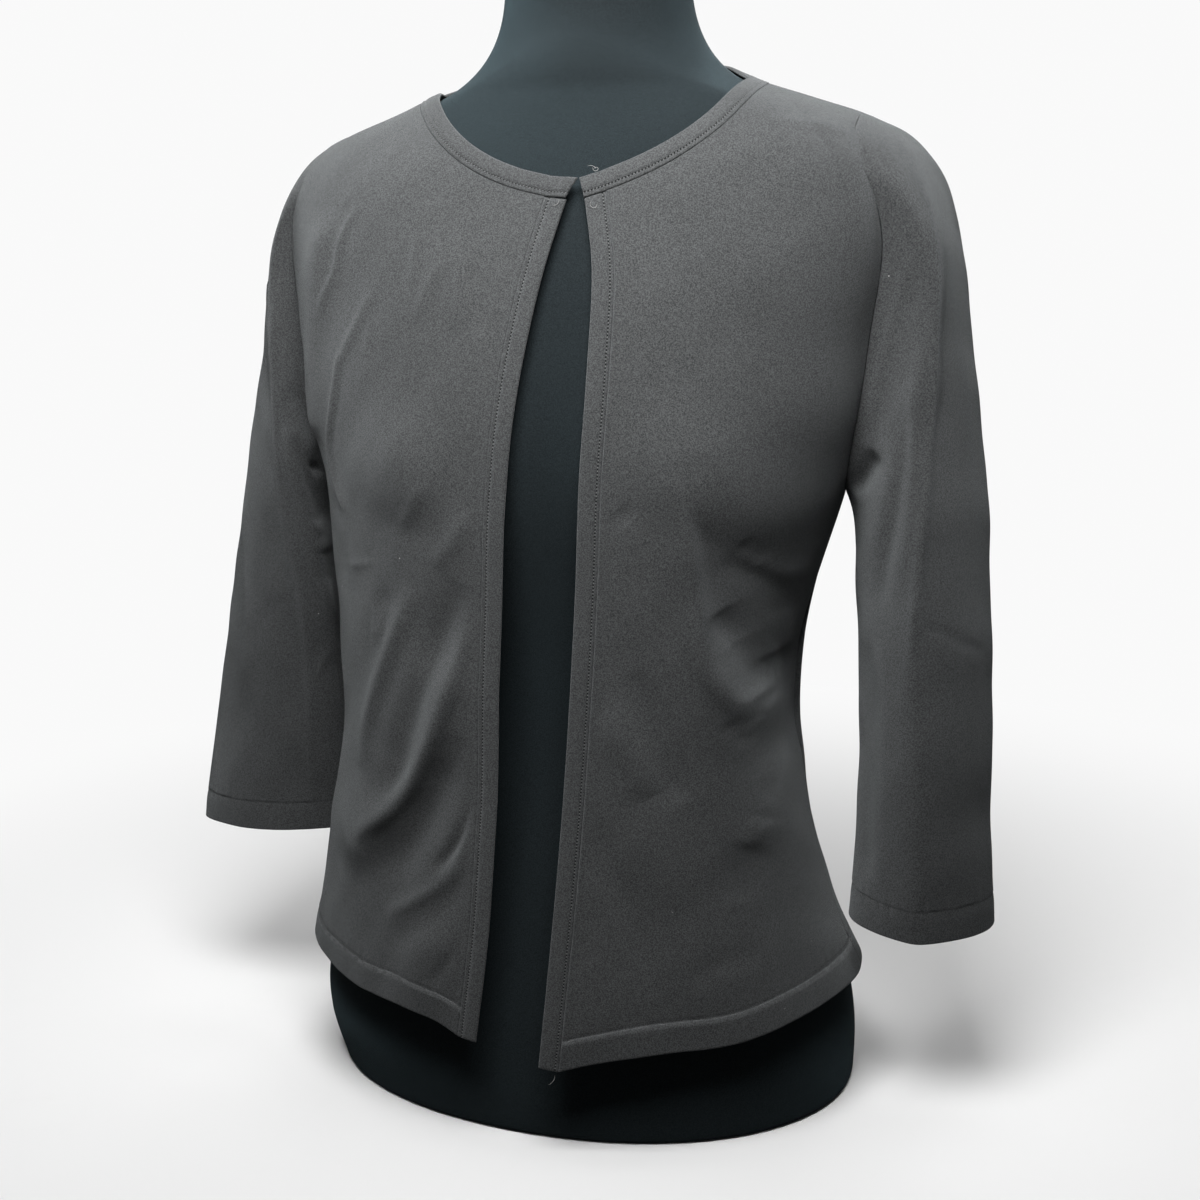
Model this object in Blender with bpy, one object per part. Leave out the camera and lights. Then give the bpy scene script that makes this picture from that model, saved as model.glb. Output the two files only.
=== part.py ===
"""Open cardigan of fine dark knit, worn by a limbless dress form that stands on its own flat base.

Metres, +Z up. The front faces -Y and the wearer's left is +X. The origin is the middle of the form's base.
Each piece of cloth is a wall: its outer face is draped onto a smooth body, and its inner face lies one
wall's thickness inside. Pieces that are sewn together share the points of their seam.
"""

import math

import bmesh
import bpy
import numpy as np

# Cloth
WALL = 0.0015
HEM_WALL = 0.0022
BAND_WALL = 0.0021
BAND_RISE = 0.0004
BAND_WIDTH = 0.0120
BAND_TRIMS = (0.0003, 0.0016, 0.0020)
SEAM_GAP = 0.0003
CLEARANCE = 0.0006
CLOTH_ARCH = 0.25
GUARD_SHARE = 1.3
GUARD_ROUND = 0.004
HEM_DEPTH = 0.021
CUFF_DEPTH = 0.020

# Dress form
FORM_HEIGHT = 0.685
BASE_ROUND = 0.004
BASE_RADIUS = 0.110
NECK_RADIUS = 0.0515
NECK_TAPER = 0.090
NECK_Y = 0.032
NECK_FILLET = 0.041
TOP_ROUND = 0.010
TOP_EDGE_SHARE = 0.3
RIDGE_HEIGHT = 0.6310
RIDGE_Y = 0.018
RIDGE_ROUND = 0.020
SHOULDER_SLOPE = 0.352
SHOULDER_TILT = 0.020
SHOULDER_CURVE = 3.2
SHOULDER_ROUND = 0.022
BUST_X = 0.082
BUST_HEIGHT = 0.388
BUST_DEPTH = 0.020
BUST_SPREAD = 0.052
SPINE_Y = 0.010
SPINE_TOP = 0.440

# Level sections: depths are measured from y = 0, widest_y is where a section is widest, and power is 2
# for an oval and more for a squarer section
FORM_SECTIONS = (
    # height, left, right, front, back, widest_y, power
    (0.000, 0.156, 0.178, 0.112, 0.106, 0.000, 2.1),
    (0.030, 0.157, 0.187, 0.113, 0.107, 0.000, 2.1),
    (0.060, 0.154, 0.186, 0.112, 0.105, -0.002, 2.1),
    (0.090, 0.145, 0.176, 0.107, 0.099, -0.004, 2.1),
    (0.120, 0.134, 0.160, 0.101, 0.092, -0.007, 2.2),
    (0.150, 0.126, 0.140, 0.096, 0.085, -0.009, 2.3),
    (0.200, 0.117, 0.124, 0.088, 0.076, -0.011, 2.4),
    (0.235, 0.115, 0.118, 0.086, 0.074, -0.011, 2.5),
    (0.280, 0.119, 0.121, 0.089, 0.078, -0.010, 2.5),
    (0.330, 0.131, 0.133, 0.096, 0.087, -0.006, 2.5),
    (0.375, 0.143, 0.146, 0.102, 0.096, -0.002, 2.5),
    (0.420, 0.152, 0.153, 0.104, 0.102, 0.000, 2.5),
    (0.470, 0.161, 0.161, 0.098, 0.105, 0.003, 2.5),
    (0.520, 0.167, 0.167, 0.086, 0.104, 0.006, 2.5),
    (0.560, 0.167, 0.167, 0.070, 0.102, 0.010, 2.5),
    (0.600, 0.165, 0.165, 0.044, 0.097, 0.014, 2.5),
)
CLOTH_SECTIONS = (
    # height, left, right, front, back, widest_y, power
    (0.040, 0.171, 0.197, 0.140, 0.124, -0.006, 2.0),
    (0.075, 0.163, 0.192, 0.137, 0.120, -0.010, 2.0),
    (0.100, 0.152, 0.185, 0.134, 0.114, -0.014, 2.1),
    (0.150, 0.136, 0.172, 0.128, 0.101, -0.022, 2.2),
    (0.200, 0.127, 0.158, 0.123, 0.091, -0.028, 2.4),
    (0.235, 0.124, 0.151, 0.121, 0.087, -0.030, 2.5),
    (0.280, 0.126, 0.150, 0.120, 0.091, -0.027, 2.5),
    (0.330, 0.135, 0.153, 0.119, 0.099, -0.018, 2.5),
    (0.375, 0.149, 0.158, 0.119, 0.106, -0.009, 2.5),
    (0.420, 0.162, 0.166, 0.116, 0.112, -0.002, 2.5),
    (0.470, 0.172, 0.173, 0.107, 0.115, 0.004, 2.5),
    (0.520, 0.183, 0.181, 0.094, 0.115, 0.008, 2.5),
    (0.560, 0.184, 0.182, 0.078, 0.113, 0.012, 2.5),
    (0.600, 0.180, 0.180, 0.052, 0.108, 0.015, 2.5),
)

# Soft folds of the fronts: a ridge (or hollow, where it is negative) along a line seen from the front
FRONT_FOLDS = (
    # rise, width, x and height of the line's points
    (0.0050, 0.020, ((0.078, 0.390), (0.090, 0.320), (0.106, 0.254))),
    (-0.0090, 0.026, ((0.112, 0.340), (0.122, 0.290), (0.124, 0.250))),
    (0.0060, 0.018, ((-0.064, 0.274), (-0.081, 0.224), (-0.108, 0.196), (-0.127, 0.174))),
    (-0.0050, 0.018, ((-0.066, 0.214), (-0.084, 0.184), (-0.106, 0.160))),
    (0.0035, 0.016, ((-0.074, 0.120), (-0.086, 0.090), (-0.098, 0.060))),
    (0.0045, 0.012, ((-0.140, 0.520), (-0.150, 0.470), (-0.155, 0.420))),
)

# Seams, as points near the cloth that are then draped onto it. Shoulders and armholes are mirrored for
# the wearer's right
SHOULDER_POINT = (0.150, 0.008, 0.577)
NECK_SHOULDER_POINT = (0.102, 0.012, 0.598)
UNDERARM_POINT = (0.148, -0.004, 0.373)
NECKLINE_FRONT_LEFT = ((0.0323, -0.0850, 0.5438), (0.0499, -0.0812, 0.5505), (0.0700, -0.0744, 0.5606),
                       (0.0888, -0.0614, 0.5746), (0.0990, -0.0440, 0.5872), (0.1030, -0.0190, 0.5955),
                       NECK_SHOULDER_POINT)
NECKLINE_FRONT_RIGHT = ((-0.0008, -0.0863, 0.5416), (-0.0207, -0.0841, 0.5467),
                        (-0.0447, -0.0785, 0.5569), (-0.0647, -0.0688, 0.5702),
                        (-0.0794, -0.0527, 0.5843), (-0.0885, -0.0330, 0.5930), (-0.102, 0.012, 0.598))
NECKLINE_BACK = ((0.102, 0.012, 0.598), (0.0874, 0.0442, 0.6054), (0.0583, 0.0799, 0.6024),
                 (0.0, 0.0959, 0.5964), (-0.0583, 0.0799, 0.6024), (-0.0874, 0.0442, 0.6054),
                 (-0.102, 0.012, 0.598))
ARMHOLE_FRONT = (SHOULDER_POINT, (0.152, -0.022, 0.572), (0.156, -0.041, 0.562),
                 (0.163, -0.0435, 0.546), (0.172, -0.040, 0.522), (0.170, -0.037, 0.490),
                 (0.164, -0.036, 0.445), (0.156, -0.031, 0.402), (0.151, -0.019, 0.381),
                 UNDERARM_POINT)
ARMHOLE_BACK = (SHOULDER_POINT, (0.156, 0.036, 0.570), (0.162, 0.060, 0.552), (0.170, 0.062, 0.520),
                (0.167, 0.060, 0.470), (0.160, 0.052, 0.428), (0.153, 0.034, 0.396), (0.150, 0.014, 0.378),
                UNDERARM_POINT)
SIDE_LEFT = ((0.160, -0.004, 0.0775), (0.132, -0.004, 0.150), (0.122, 0.002, 0.235),
             (0.134, 0.000, 0.310), UNDERARM_POINT)
SIDE_RIGHT = ((-0.185, -0.004, 0.088), (-0.170, -0.004, 0.150), (-0.148, 0.000, 0.235),
              (-0.150, 0.000, 0.310), (-0.148, -0.004, 0.373))
EDGE_LEFT = ((0.006, -0.136, 0.059), (0.011, -0.130, 0.110), (0.023, -0.120, 0.240),
             (0.030, -0.117, 0.330), (0.034, -0.115, 0.400), (0.037, -0.107, 0.450),
             (0.038, -0.095, 0.510), (0.0323, -0.0850, 0.5438))
EDGE_RIGHT = ((-0.057, -0.134, 0.071), (-0.051, -0.130, 0.110), (-0.043, -0.122, 0.200),
              (-0.037, -0.119, 0.300), (-0.031, -0.117, 0.380), (-0.024, -0.112, 0.440),
              (-0.011, -0.098, 0.505), (-0.0008, -0.0863, 0.5416))
NECK_END_LEFT = ((0.0323, -0.0850, 0.5438), (0.0285, -0.0855, 0.5428), (0.0246, -0.0861, 0.5416),
                 (0.0206, -0.0866, 0.5405))
NECK_END_RIGHT = ((-0.0008, -0.0863, 0.5416), (0.0041, -0.0865, 0.5411), (0.0091, -0.0867, 0.5405),
                  (0.0141, -0.0869, 0.5400))
HEM_LEFT = ((0.006, -0.136, 0.059), (0.0345, -0.1349, 0.0665), (0.0608, -0.1283, 0.0704),
            (0.1000, -0.1110, 0.0715), (0.1340, -0.0817, 0.0770), (0.1530, -0.0450, 0.0795),
            (0.160, -0.004, 0.0775))
HEM_RIGHT = ((-0.057, -0.134, 0.071), (-0.0749, -0.1282, 0.0784), (-0.0950, -0.1230, 0.0812),
             (-0.1250, -0.1062, 0.0808), (-0.1565, -0.0827, 0.0848), (-0.1750, -0.0520, 0.0868),
             (-0.185, -0.004, 0.088))
HEM_BACK = ((0.160, -0.004, 0.0775), (0.150, 0.050, 0.078), (0.105, 0.098, 0.077), (0.0, 0.118, 0.075),
            (-0.110, 0.098, 0.078), (-0.167, 0.050, 0.084), (-0.185, -0.004, 0.088))

# Sleeves: level sections of the tube below the armhole. softness is 2 for a plain oval and 1 for a
# sharp crease down the front and the back, and twist turns the front crease towards the body
SLEEVE_LEFT = (
    # height, x, y, half_width, half_depth, softness, twist
    (0.100, 0.1985, -0.028, 0.0460, 0.0400, 1.15, 0.0),
    (0.150, 0.1985, -0.025, 0.0430, 0.0430, 1.15, 0.0),
    (0.200, 0.1985, -0.022, 0.0405, 0.0455, 1.20, 0.0),
    (0.250, 0.1980, -0.018, 0.0398, 0.0475, 1.25, 0.0),
    (0.300, 0.1955, -0.012, 0.0402, 0.0495, 1.30, 0.0),
    (0.360, 0.1930, -0.004, 0.0390, 0.0520, 1.45, 0.0),
    (0.420, 0.1885, 0.002, 0.0360, 0.0535, 1.70, 0.0),
    (0.480, 0.1840, 0.006, 0.0330, 0.0525, 1.90, 0.0),
)
SLEEVE_RIGHT = (
    # height, x, y, half_width, half_depth, softness, twist
    (0.110, 0.2364, 0.012, 0.0200, 0.0580, 1.15, 86.0),
    (0.150, 0.2307, 0.012, 0.0210, 0.0580, 1.15, 84.0),
    (0.200, 0.2245, 0.012, 0.0240, 0.0570, 1.18, 77.0),
    (0.260, 0.2188, 0.012, 0.0290, 0.0560, 1.22, 65.0),
    (0.320, 0.2090, 0.011, 0.0340, 0.0540, 1.30, 47.0),
    (0.370, 0.1968, 0.009, 0.0370, 0.0520, 1.45, 26.0),
    (0.420, 0.1840, 0.006, 0.0360, 0.0535, 1.70, 9.0),
    (0.480, 0.1700, 0.006, 0.0320, 0.0525, 1.90, 0.0),
)
# Height of the cuff's middle, and how much it climbs towards the outside
CUFF_LEFT = (0.1225, 0.0)
CUFF_RIGHT = (0.1365, -0.05)
CAP_DROP_OUTER = 0.125
CAP_DROP_INNER = 0.040
# How far, and at what slope in degrees, the top of each sleeve carries on outwards from the shoulder
CAP_LEFT = (1.10, 16.0)
CAP_RIGHT = (0.72, 20.0)
CAP_SHARE = 0.35
CAP_LOW_SLOPE = 74.0
CAP_EVENING = 2
EVENING_ROUNDS = 40
NECK_AIM_HEIGHT = 0.650

# Grid of each piece
ROWS_BODY = 18
ROWS_ARMHOLE = 12
COLUMNS_NECK = 8
COLUMNS_SHOULDER = 5
COLUMNS_BACK_NECK = 14
RINGS_SLEEVE = 20
FORM_COLUMNS = 36
FORM_RINGS = 27
CURVE_STEPS = 50
RAY_START = 0.004
RAY_REACH = 0.5
RAY_HALVINGS = 36
SHARP_ANGLE = 50.0

FINISHES = {
    # name: colour, roughness, sheen
    "charcoal_knit": ((0.032, 0.031, 0.032), 0.82, 0.25),
    "charcoal_band": ((0.030, 0.029, 0.030), 0.80, 0.25),
    "black_jersey": ((0.006, 0.006, 0.007), 0.88, 0.15),
}


def clear_scene():
    for item in list(bpy.data.objects):
        bpy.data.objects.remove(item, do_unlink=True)


def hermite(keys, values, at):
    """A cubic through the values, with each slope taken from the neighbours, and level past both ends."""
    keys = np.asarray(keys, float)
    values = np.asarray(values, float)
    slopes = np.gradient(values, keys, axis=0)
    at = np.clip(np.asarray(at, float), keys[0], keys[-1])
    i = np.clip(np.searchsorted(keys, at) - 1, 0, len(keys) - 2)
    span = keys[i + 1] - keys[i]
    t = (at - keys[i]) / span
    if values.ndim > 1:
        span = span[..., None]
        t = t[..., None]
    start = (2 * t**3 - 3 * t**2 + 1) * values[i] + (t**3 - 2 * t**2 + t) * span * slopes[i]
    end = (3 * t**2 - 2 * t**3) * values[i + 1] + (t**3 - t**2) * span * slopes[i + 1]
    return start + end


def columns_at(rows, height):
    """Every column of a table of sections at the heights given."""
    table = np.array(rows)
    found = hermite(table[:, 0], table[:, 1:], height)
    return [found[..., k] for k in range(found.shape[-1])]


def smooth_curve(points, count):
    """count + 1 points spaced evenly along a smooth curve through the points given."""
    points = np.array(points, float)
    chords = np.linalg.norm(np.diff(points, axis=0), axis=1)
    keys = np.concatenate(([0.0], np.cumsum(chords)))
    fine = hermite(keys, points, np.linspace(0, keys[-1], CURVE_STEPS * len(points)))
    steps = np.linalg.norm(np.diff(fine, axis=0), axis=1)
    length = np.concatenate(([0.0], np.cumsum(steps)))
    even = np.linspace(0, length[-1], count + 1)
    return np.stack([np.interp(even, length, fine[:, k]) for k in range(3)], axis=1)


def mirrored(points):
    return [(-x, y, z) for x, y, z in points]


def unit(v):
    return v / np.maximum(np.linalg.norm(v, axis=-1, keepdims=True), 1e-12)


def soft_min(a, b, k):
    return np.minimum(a, b) - np.maximum(k - np.abs(a - b), 0) ** 2 / (4 * k)


def soft_max(a, b, k):
    return -soft_min(-a, -b, k)


def tube(p, sections):
    """How far each point lies outside an upright tube of rounded sections, on a level line."""
    left, right, front, back, widest, power = columns_at(sections, p[..., 2])
    x = p[..., 0]
    y = p[..., 1] - widest
    half_x = np.where(x > 0, left, right)
    half_y = np.where(y < 0, front + widest, back - widest)
    share = (np.abs(x / half_x) ** power + np.abs(y / half_y) ** power) ** (1 / power)
    reach = np.hypot(x, y)
    return reach - reach / np.maximum(share, 1e-6)


def shoulder_roof(p):
    """Height over two sloping shoulders that round down to the front and the back."""
    level = RIDGE_HEIGHT - SHOULDER_SLOPE * np.hypot(p[..., 0], RIDGE_ROUND) + SHOULDER_TILT * p[..., 0]
    level = level - SHOULDER_CURVE * (p[..., 1] - RIDGE_Y) ** 2
    return (p[..., 2] - level) * math.cos(math.atan(SHOULDER_SLOPE))


def neck(p):
    radius = NECK_RADIUS + NECK_TAPER * (FORM_HEIGHT - p[..., 2])
    return np.hypot(p[..., 0], p[..., 1] - NECK_Y) - radius


def bust(p):
    """Two round rises on the front."""
    away = ((np.abs(p[..., 0]) - BUST_X) ** 2 + (p[..., 2] - BUST_HEIGHT) ** 2) / BUST_SPREAD**2
    return np.where(p[..., 1] < 0, BUST_DEPTH * np.exp(-away), 0)


def form_field(p):
    """Below 0 inside the dress form."""
    torso = soft_max(tube(p, FORM_SECTIONS) - bust(p), shoulder_roof(p), SHOULDER_ROUND)
    whole = soft_min(torso, neck(p), NECK_FILLET)
    return soft_max(whole, p[..., 2] - FORM_HEIGHT, TOP_ROUND)


def line_distance(x, z, line):
    """Distance from each point to a line of short straight stretches, seen from the front."""
    nearest = np.full(x.shape, 1.0)
    for (x0, z0), (x1, z1) in zip(line, line[1:]):
        run = np.array((x1 - x0, z1 - z0))
        t = ((x - x0) * run[0] + (z - z0) * run[1]) / (run @ run)
        t = np.clip(t, 0, 1)
        nearest = np.minimum(nearest, np.hypot(x - x0 - t * run[0], z - z0 - t * run[1]))
    return nearest


def folds(p):
    """Sum of the fronts' soft folds."""
    total = np.zeros(p.shape[:-1])
    for rise, width, line in FRONT_FOLDS:
        total += rise * np.exp(-((line_distance(p[..., 0], p[..., 2], line) / width) ** 2))
    return np.where(p[..., 1] < 0, total, 0)


def cloth_field(p):
    """Below 0 inside the cloth's outer face, which never comes nearer to the form than its clearance."""
    rest = WALL + CLEARANCE
    lift = rest + CLOTH_ARCH * (p[..., 1] - RIDGE_Y) ** 2
    torso = soft_max(tube(p, CLOTH_SECTIONS) - folds(p), shoulder_roof(p) - lift, SHOULDER_ROUND)
    whole = soft_min(torso, neck(p) - rest, NECK_FILLET)
    return soft_min(whole, form_field(p) - GUARD_SHARE * rest, GUARD_ROUND)


def cast(field, start, direction):
    """Where rays from inside leave the field, by halving."""
    near = np.full(start.shape[:-1], RAY_START)
    far = np.full(start.shape[:-1], RAY_REACH)
    for _ in range(RAY_HALVINGS):
        middle = (near + far) / 2
        inside = field(start + direction * middle[..., None]) < 0
        near = np.where(inside, middle, near)
        far = np.where(inside, far, middle)
    return start + direction * near[..., None]


def drape(seeds):
    """Move seeds onto the cloth's outer face, along lines from the spine."""
    spine = np.zeros(seeds.shape)
    spine[..., 1] = SPINE_Y
    spine[..., 2] = np.minimum(seeds[..., 2], SPINE_TOP)
    return cast(cloth_field, spine, unit(seeds - spine))


def field_normal(field, p):
    step = 0.0005
    slopes = []
    for axis in range(3):
        move = np.zeros(3)
        move[axis] = step
        slopes.append(field(p + move) - field(p - move))
    return unit(np.stack(slopes, axis=-1))


def coons(bottom, top, start, end):
    """Grid of points between four edges: rows run from bottom to top, columns from start to end."""
    u = np.linspace(0, 1, len(bottom))[None, :, None]
    v = np.linspace(0, 1, len(start))[:, None, None]
    ruled_up = (1 - v) * bottom[None] + v * top[None]
    ruled_across = (1 - u) * start[:, None] + u * end[:, None]
    corners = (1 - v) * ((1 - u) * bottom[0] + u * bottom[-1]) + v * ((1 - u) * top[0] + u * top[-1])
    return ruled_up + ruled_across - corners


def evened(grid):
    """Let the inner points of a grid drift to the middle of their neighbours."""
    grid = grid.copy()
    for _ in range(EVENING_ROUNDS):
        beside = grid[1:-1, :-2] + grid[1:-1, 2:]
        above = grid[:-2, 1:-1] + grid[2:, 1:-1]
        grid[1:-1, 1:-1] = (beside + above) / 4
    return grid


def inset(grid, edges):
    """Draw the named edges of a grid in by half a seam's gap, towards the next row or column."""
    moved = grid.copy()
    half = SEAM_GAP / 2
    for edge in edges:
        line, inner = {
            "bottom": (np.s_[0, :], np.s_[1, :]),
            "top": (np.s_[-1, :], np.s_[-2, :]),
            "start": (np.s_[:, 0], np.s_[:, 1]),
            "end": (np.s_[:, -1], np.s_[:, -2]),
        }[edge]
        moved[line] += half * unit(grid[inner] - grid[line])
    return moved


def material(name):
    colour, roughness, sheen = FINISHES[name]
    made = bpy.data.materials.new(name)
    made.use_nodes = True
    shader = made.node_tree.nodes["Principled BSDF"]
    shader.inputs["Base Color"].default_value = (*colour, 1)
    shader.inputs["Roughness"].default_value = roughness
    shader.inputs["Metallic"].default_value = 0.0
    shader.inputs["Sheen Weight"].default_value = sheen
    return made


def add_object(name, points, triangles, made):
    """One closed mesh, its faces turned outwards."""
    mesh = bpy.data.meshes.new(name)
    mesh.from_pydata([tuple(p) for p in points], [], [tuple(t) for t in triangles])
    work = bmesh.new()
    work.from_mesh(mesh)
    bmesh.ops.recalc_face_normals(work, faces=work.faces)
    work.to_mesh(mesh)
    work.free()
    mesh.materials.append(made)
    mesh.shade_smooth()
    mesh.set_sharp_from_angle(angle=math.radians(SHARP_ANGLE))
    piece = bpy.data.objects.new(name, mesh)
    bpy.context.scene.collection.objects.link(piece)
    return piece


def grid_triangles(rows, columns, offset, around):
    """Triangles of a grid of points; around joins the last column to the first."""
    index = np.arange(rows * columns).reshape(rows, columns) + offset
    if around:
        index = np.concatenate([index, index[:, :1]], axis=1)
    a, b = index[:-1, :-1].ravel(), index[:-1, 1:].ravel()
    c, d = index[1:, 1:].ravel(), index[1:, :-1].ravel()
    return np.concatenate([np.stack([a, b, c], 1), np.stack([a, c, d], 1)])


def strip_triangles(first, second):
    """Triangles between two lines of point numbers."""
    a, b, c, d = first[:-1], first[1:], second[1:], second[:-1]
    return np.concatenate([np.stack([a, b, c], 1), np.stack([a, c, d], 1)])


def add_wall(name, outer, inner, made, around=False):
    """A closed wall between two grids of the same shape, with a rim along each open edge."""
    rows, columns = outer.shape[:2]
    count = rows * columns
    index = np.arange(count).reshape(rows, columns)
    rims = [(index[0], index[0] + count), (index[-1], index[-1] + count)]
    if around:
        rims = [(np.append(a, a[0]), np.append(b, b[0])) for a, b in rims]
    else:
        rims += [(index[:, 0], index[:, 0] + count), (index[:, -1], index[:, -1] + count)]
    triangles = [grid_triangles(rows, columns, 0, around), grid_triangles(rows, columns, count, around)]
    triangles += [strip_triangles(a, b) for a, b in rims]
    points = np.concatenate([outer.reshape(-1, 3), inner.reshape(-1, 3)])
    return add_object(name, points, np.concatenate(triangles), made)


def add_panel(name, grid, made, edges):
    """A cut panel on the body: a wall that is a little thicker in the turned hem."""
    outer = inset(grid, edges)
    normal = field_normal(cloth_field, grid)
    above_hem = grid[..., 2:] - grid[:1, :, 2:]
    thick = np.where(above_hem < HEM_DEPTH, HEM_WALL, WALL)
    return add_wall(name, outer, outer - normal * thick, made)


def along_surface(line, toward, width):
    """The line moved over the cloth by a width, square to itself, to the side of the direction given."""
    normal = field_normal(cloth_field, line)
    side = unit(np.cross(normal, np.gradient(line, axis=0)))
    side *= np.sign(np.sum(side * toward, axis=-1, keepdims=True))
    return drape(line + side * width)


def add_band(name, seam, toward, made, trims):
    """A narrow band sewn on along a seam: three lines of points over the cloth, lifted a little. The last
    point of each line is drawn back by its trim."""
    shifts = (SEAM_GAP / 2, BAND_WIDTH / 2, BAND_WIDTH)
    grid = np.stack([along_surface(seam, toward, shift) for shift in shifts])
    grid[:, -1] -= unit(grid[:, -1] - grid[:, -2]) * np.array(trims)[:, None]
    normal = field_normal(cloth_field, grid)
    outer = grid + normal * BAND_RISE
    return add_wall(name, outer, outer - normal * BAND_WALL, made)


def sleeve_section(table, height, angle, side):
    """Point of the sleeve's tube at a height and an angle: 0 is outward, a quarter turn is the front."""
    x, y, half_width, half_depth, softness, twist = columns_at(table, height)
    across = half_width * np.sign(np.cos(angle)) * np.abs(np.cos(angle)) ** (2 / softness)
    along = -half_depth * np.sin(angle)
    turn = np.radians(-twist)
    dx = across * np.cos(turn) - along * np.sin(turn)
    dy = across * np.sin(turn) + along * np.cos(turn)
    return np.stack([side * (x + dx), y + dy, height], axis=-1)


def sleeve_grid(loop, table, cuff, cap, side):
    """Rails from the armhole loop's points: each leaves the seam, joins the tube and runs down it."""
    count = len(loop)
    angle = np.linspace(0, 2 * math.pi, count, endpoint=False)
    body_normal = field_normal(cloth_field, loop)
    seam = unit(np.roll(loop, -1, axis=0) - np.roll(loop, 1, axis=0))
    level = (loop[:, 2].max() - loop[:, 2]) / np.ptp(loop[:, 2])
    away = unit(np.cross(seam, body_normal))
    away *= np.sign(np.sum(away * (loop.mean(axis=0) - loop), axis=1, keepdims=True))
    push, slope = cap
    droop = np.radians(slope + (CAP_LOW_SLOPE - slope) * level**1.5)
    leave = np.stack([side * np.cos(droop), np.zeros(count), -np.sin(droop)], axis=1)
    across_seam = unit(leave - seam * np.sum(leave * seam, axis=1, keepdims=True))
    turned = 1 - np.sum(across_seam * away, axis=1, keepdims=True)
    start = loop + SEAM_GAP * unit(across_seam + away + body_normal * turned)
    low_ring = sleeve_section(table, np.full(count, cuff[0]), angle, side)
    cuff_height = cuff[0] + cuff[1] * (side * low_ring[:, 0] - table[0][1])
    drop = CAP_DROP_OUTER + (CAP_DROP_INNER - CAP_DROP_OUTER) * level
    join_height = loop[:, 2] - drop
    join = sleeve_section(table, join_height, angle, side)
    below = sleeve_section(table, join_height - 0.004, angle, side)
    reach = np.linalg.norm(join - start, axis=1)[:, None]
    rings = []
    share_of_rings = np.linspace(0, 1, RINGS_SLEEVE + 1)
    for share in share_of_rings:
        cap_share = share / CAP_SHARE
        if cap_share < 1:
            t = cap_share
            ring = ((2 * t**3 - 3 * t**2 + 1) * start + (t**3 - 2 * t**2 + t) * reach * push * leave
                    + (3 * t**2 - 2 * t**3) * join + (t**3 - t**2) * reach * unit(below - join))
        else:
            t = (share - CAP_SHARE) / (1 - CAP_SHARE)
            ring = sleeve_section(table, join_height + (cuff_height - join_height) * t, angle, side)
        rings.append(ring)
    rings = np.stack(rings)
    weight = np.clip(share_of_rings / CAP_SHARE, 0, 1)[:, None, None] * np.ones((1, count, 1))
    for _ in range(CAP_EVENING):
        beside = (np.roll(rings, 1, axis=1) + np.roll(rings, -1, axis=1)) / 2
        rings += 0.5 * weight * (beside - rings)
    return rings


def grid_normal(grid, side):
    """Normals of a tube of rings from its own points, turned out from the tube's middle."""
    around = np.roll(grid, -1, axis=1) - np.roll(grid, 1, axis=1)
    down = np.gradient(grid, axis=0)
    return unit(np.cross(around, down)) * side


def add_sleeve(name, loop, table, cuff, cap, side, made):
    grid = sleeve_grid(loop, table, cuff, cap, side)
    normal = grid_normal(grid, side)
    body_normal = field_normal(cloth_field, loop)
    alike = np.clip(np.sum(normal[0] * body_normal, axis=1, keepdims=True), 0, 1)
    normal[0] = unit(normal[0] + alike * body_normal)
    above_cuff = grid[..., 2:] - grid[-1:, :, 2:]
    thick = np.where(above_cuff < CUFF_DEPTH, HEM_WALL, WALL)
    return add_wall(name, grid, grid - normal * thick, made, around=True)


def add_form(made):
    """The dress form: rings of points cast from its axis, a flat base and a flat top with round edges."""
    path = (
        # share of the rings, height and y of the ring's middle, elevation of its rays
        (0.00, 0.004, 0.000, 0.0),
        (0.62, 0.500, 0.000, 0.0),
        (0.74, 0.530, 0.008, 24.0),
        (0.82, 0.556, 0.020, 38.0),
        (0.88, 0.588, 0.030, 38.0),
        (0.94, 0.640, NECK_Y, 8.0),
        (1.00, 0.672, NECK_Y, 0.0),
    )
    share = np.linspace(0, 1, FORM_RINGS)
    height, middle_y, elevation = columns_at(path, share)
    angle = np.linspace(0, 2 * math.pi, FORM_COLUMNS, endpoint=False)
    tilt = np.radians(elevation)[:, None]
    direction = np.stack([np.cos(tilt) * np.cos(angle), np.cos(tilt) * np.sin(angle),
                          np.sin(tilt) * np.ones(FORM_COLUMNS)], axis=-1)
    start = np.zeros(direction.shape)
    start[..., 1] = middle_y[:, None]
    start[..., 2] = height[:, None]
    rings = cast(form_field, start, direction)
    foot_share = 1 - BASE_ROUND / BASE_RADIUS
    foot = rings[0] * (foot_share, foot_share, 0)
    middle = np.array((0, NECK_Y, 0))
    neck_reach = (rings[-1] - middle) * (1, 1, 0)
    top = middle + neck_reach * (1 - TOP_ROUND / NECK_RADIUS)
    top[:, 2] = FORM_HEIGHT
    edge = middle + neck_reach * (1 - TOP_EDGE_SHARE * TOP_ROUND / NECK_RADIUS)
    edge[:, 2] = FORM_HEIGHT - TOP_EDGE_SHARE * TOP_ROUND
    grid = np.concatenate([foot[None], rings, edge[None], top[None]])
    rows, columns = grid.shape[:2]
    points = np.concatenate([grid.reshape(-1, 3), [(0, 0, 0), (0, NECK_Y, FORM_HEIGHT)]])
    index = np.arange(rows * columns).reshape(rows, columns)
    centre = rows * columns
    triangles = [grid_triangles(rows, columns, 0, True)]
    for ring, hub in ((index[0], centre), (index[-1], centre + 1)):
        triangles.append(np.stack([ring, np.roll(ring, -1), np.full(columns, hub)], 1))
    return add_object("dress_form", points, np.concatenate(triangles), made)


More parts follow.
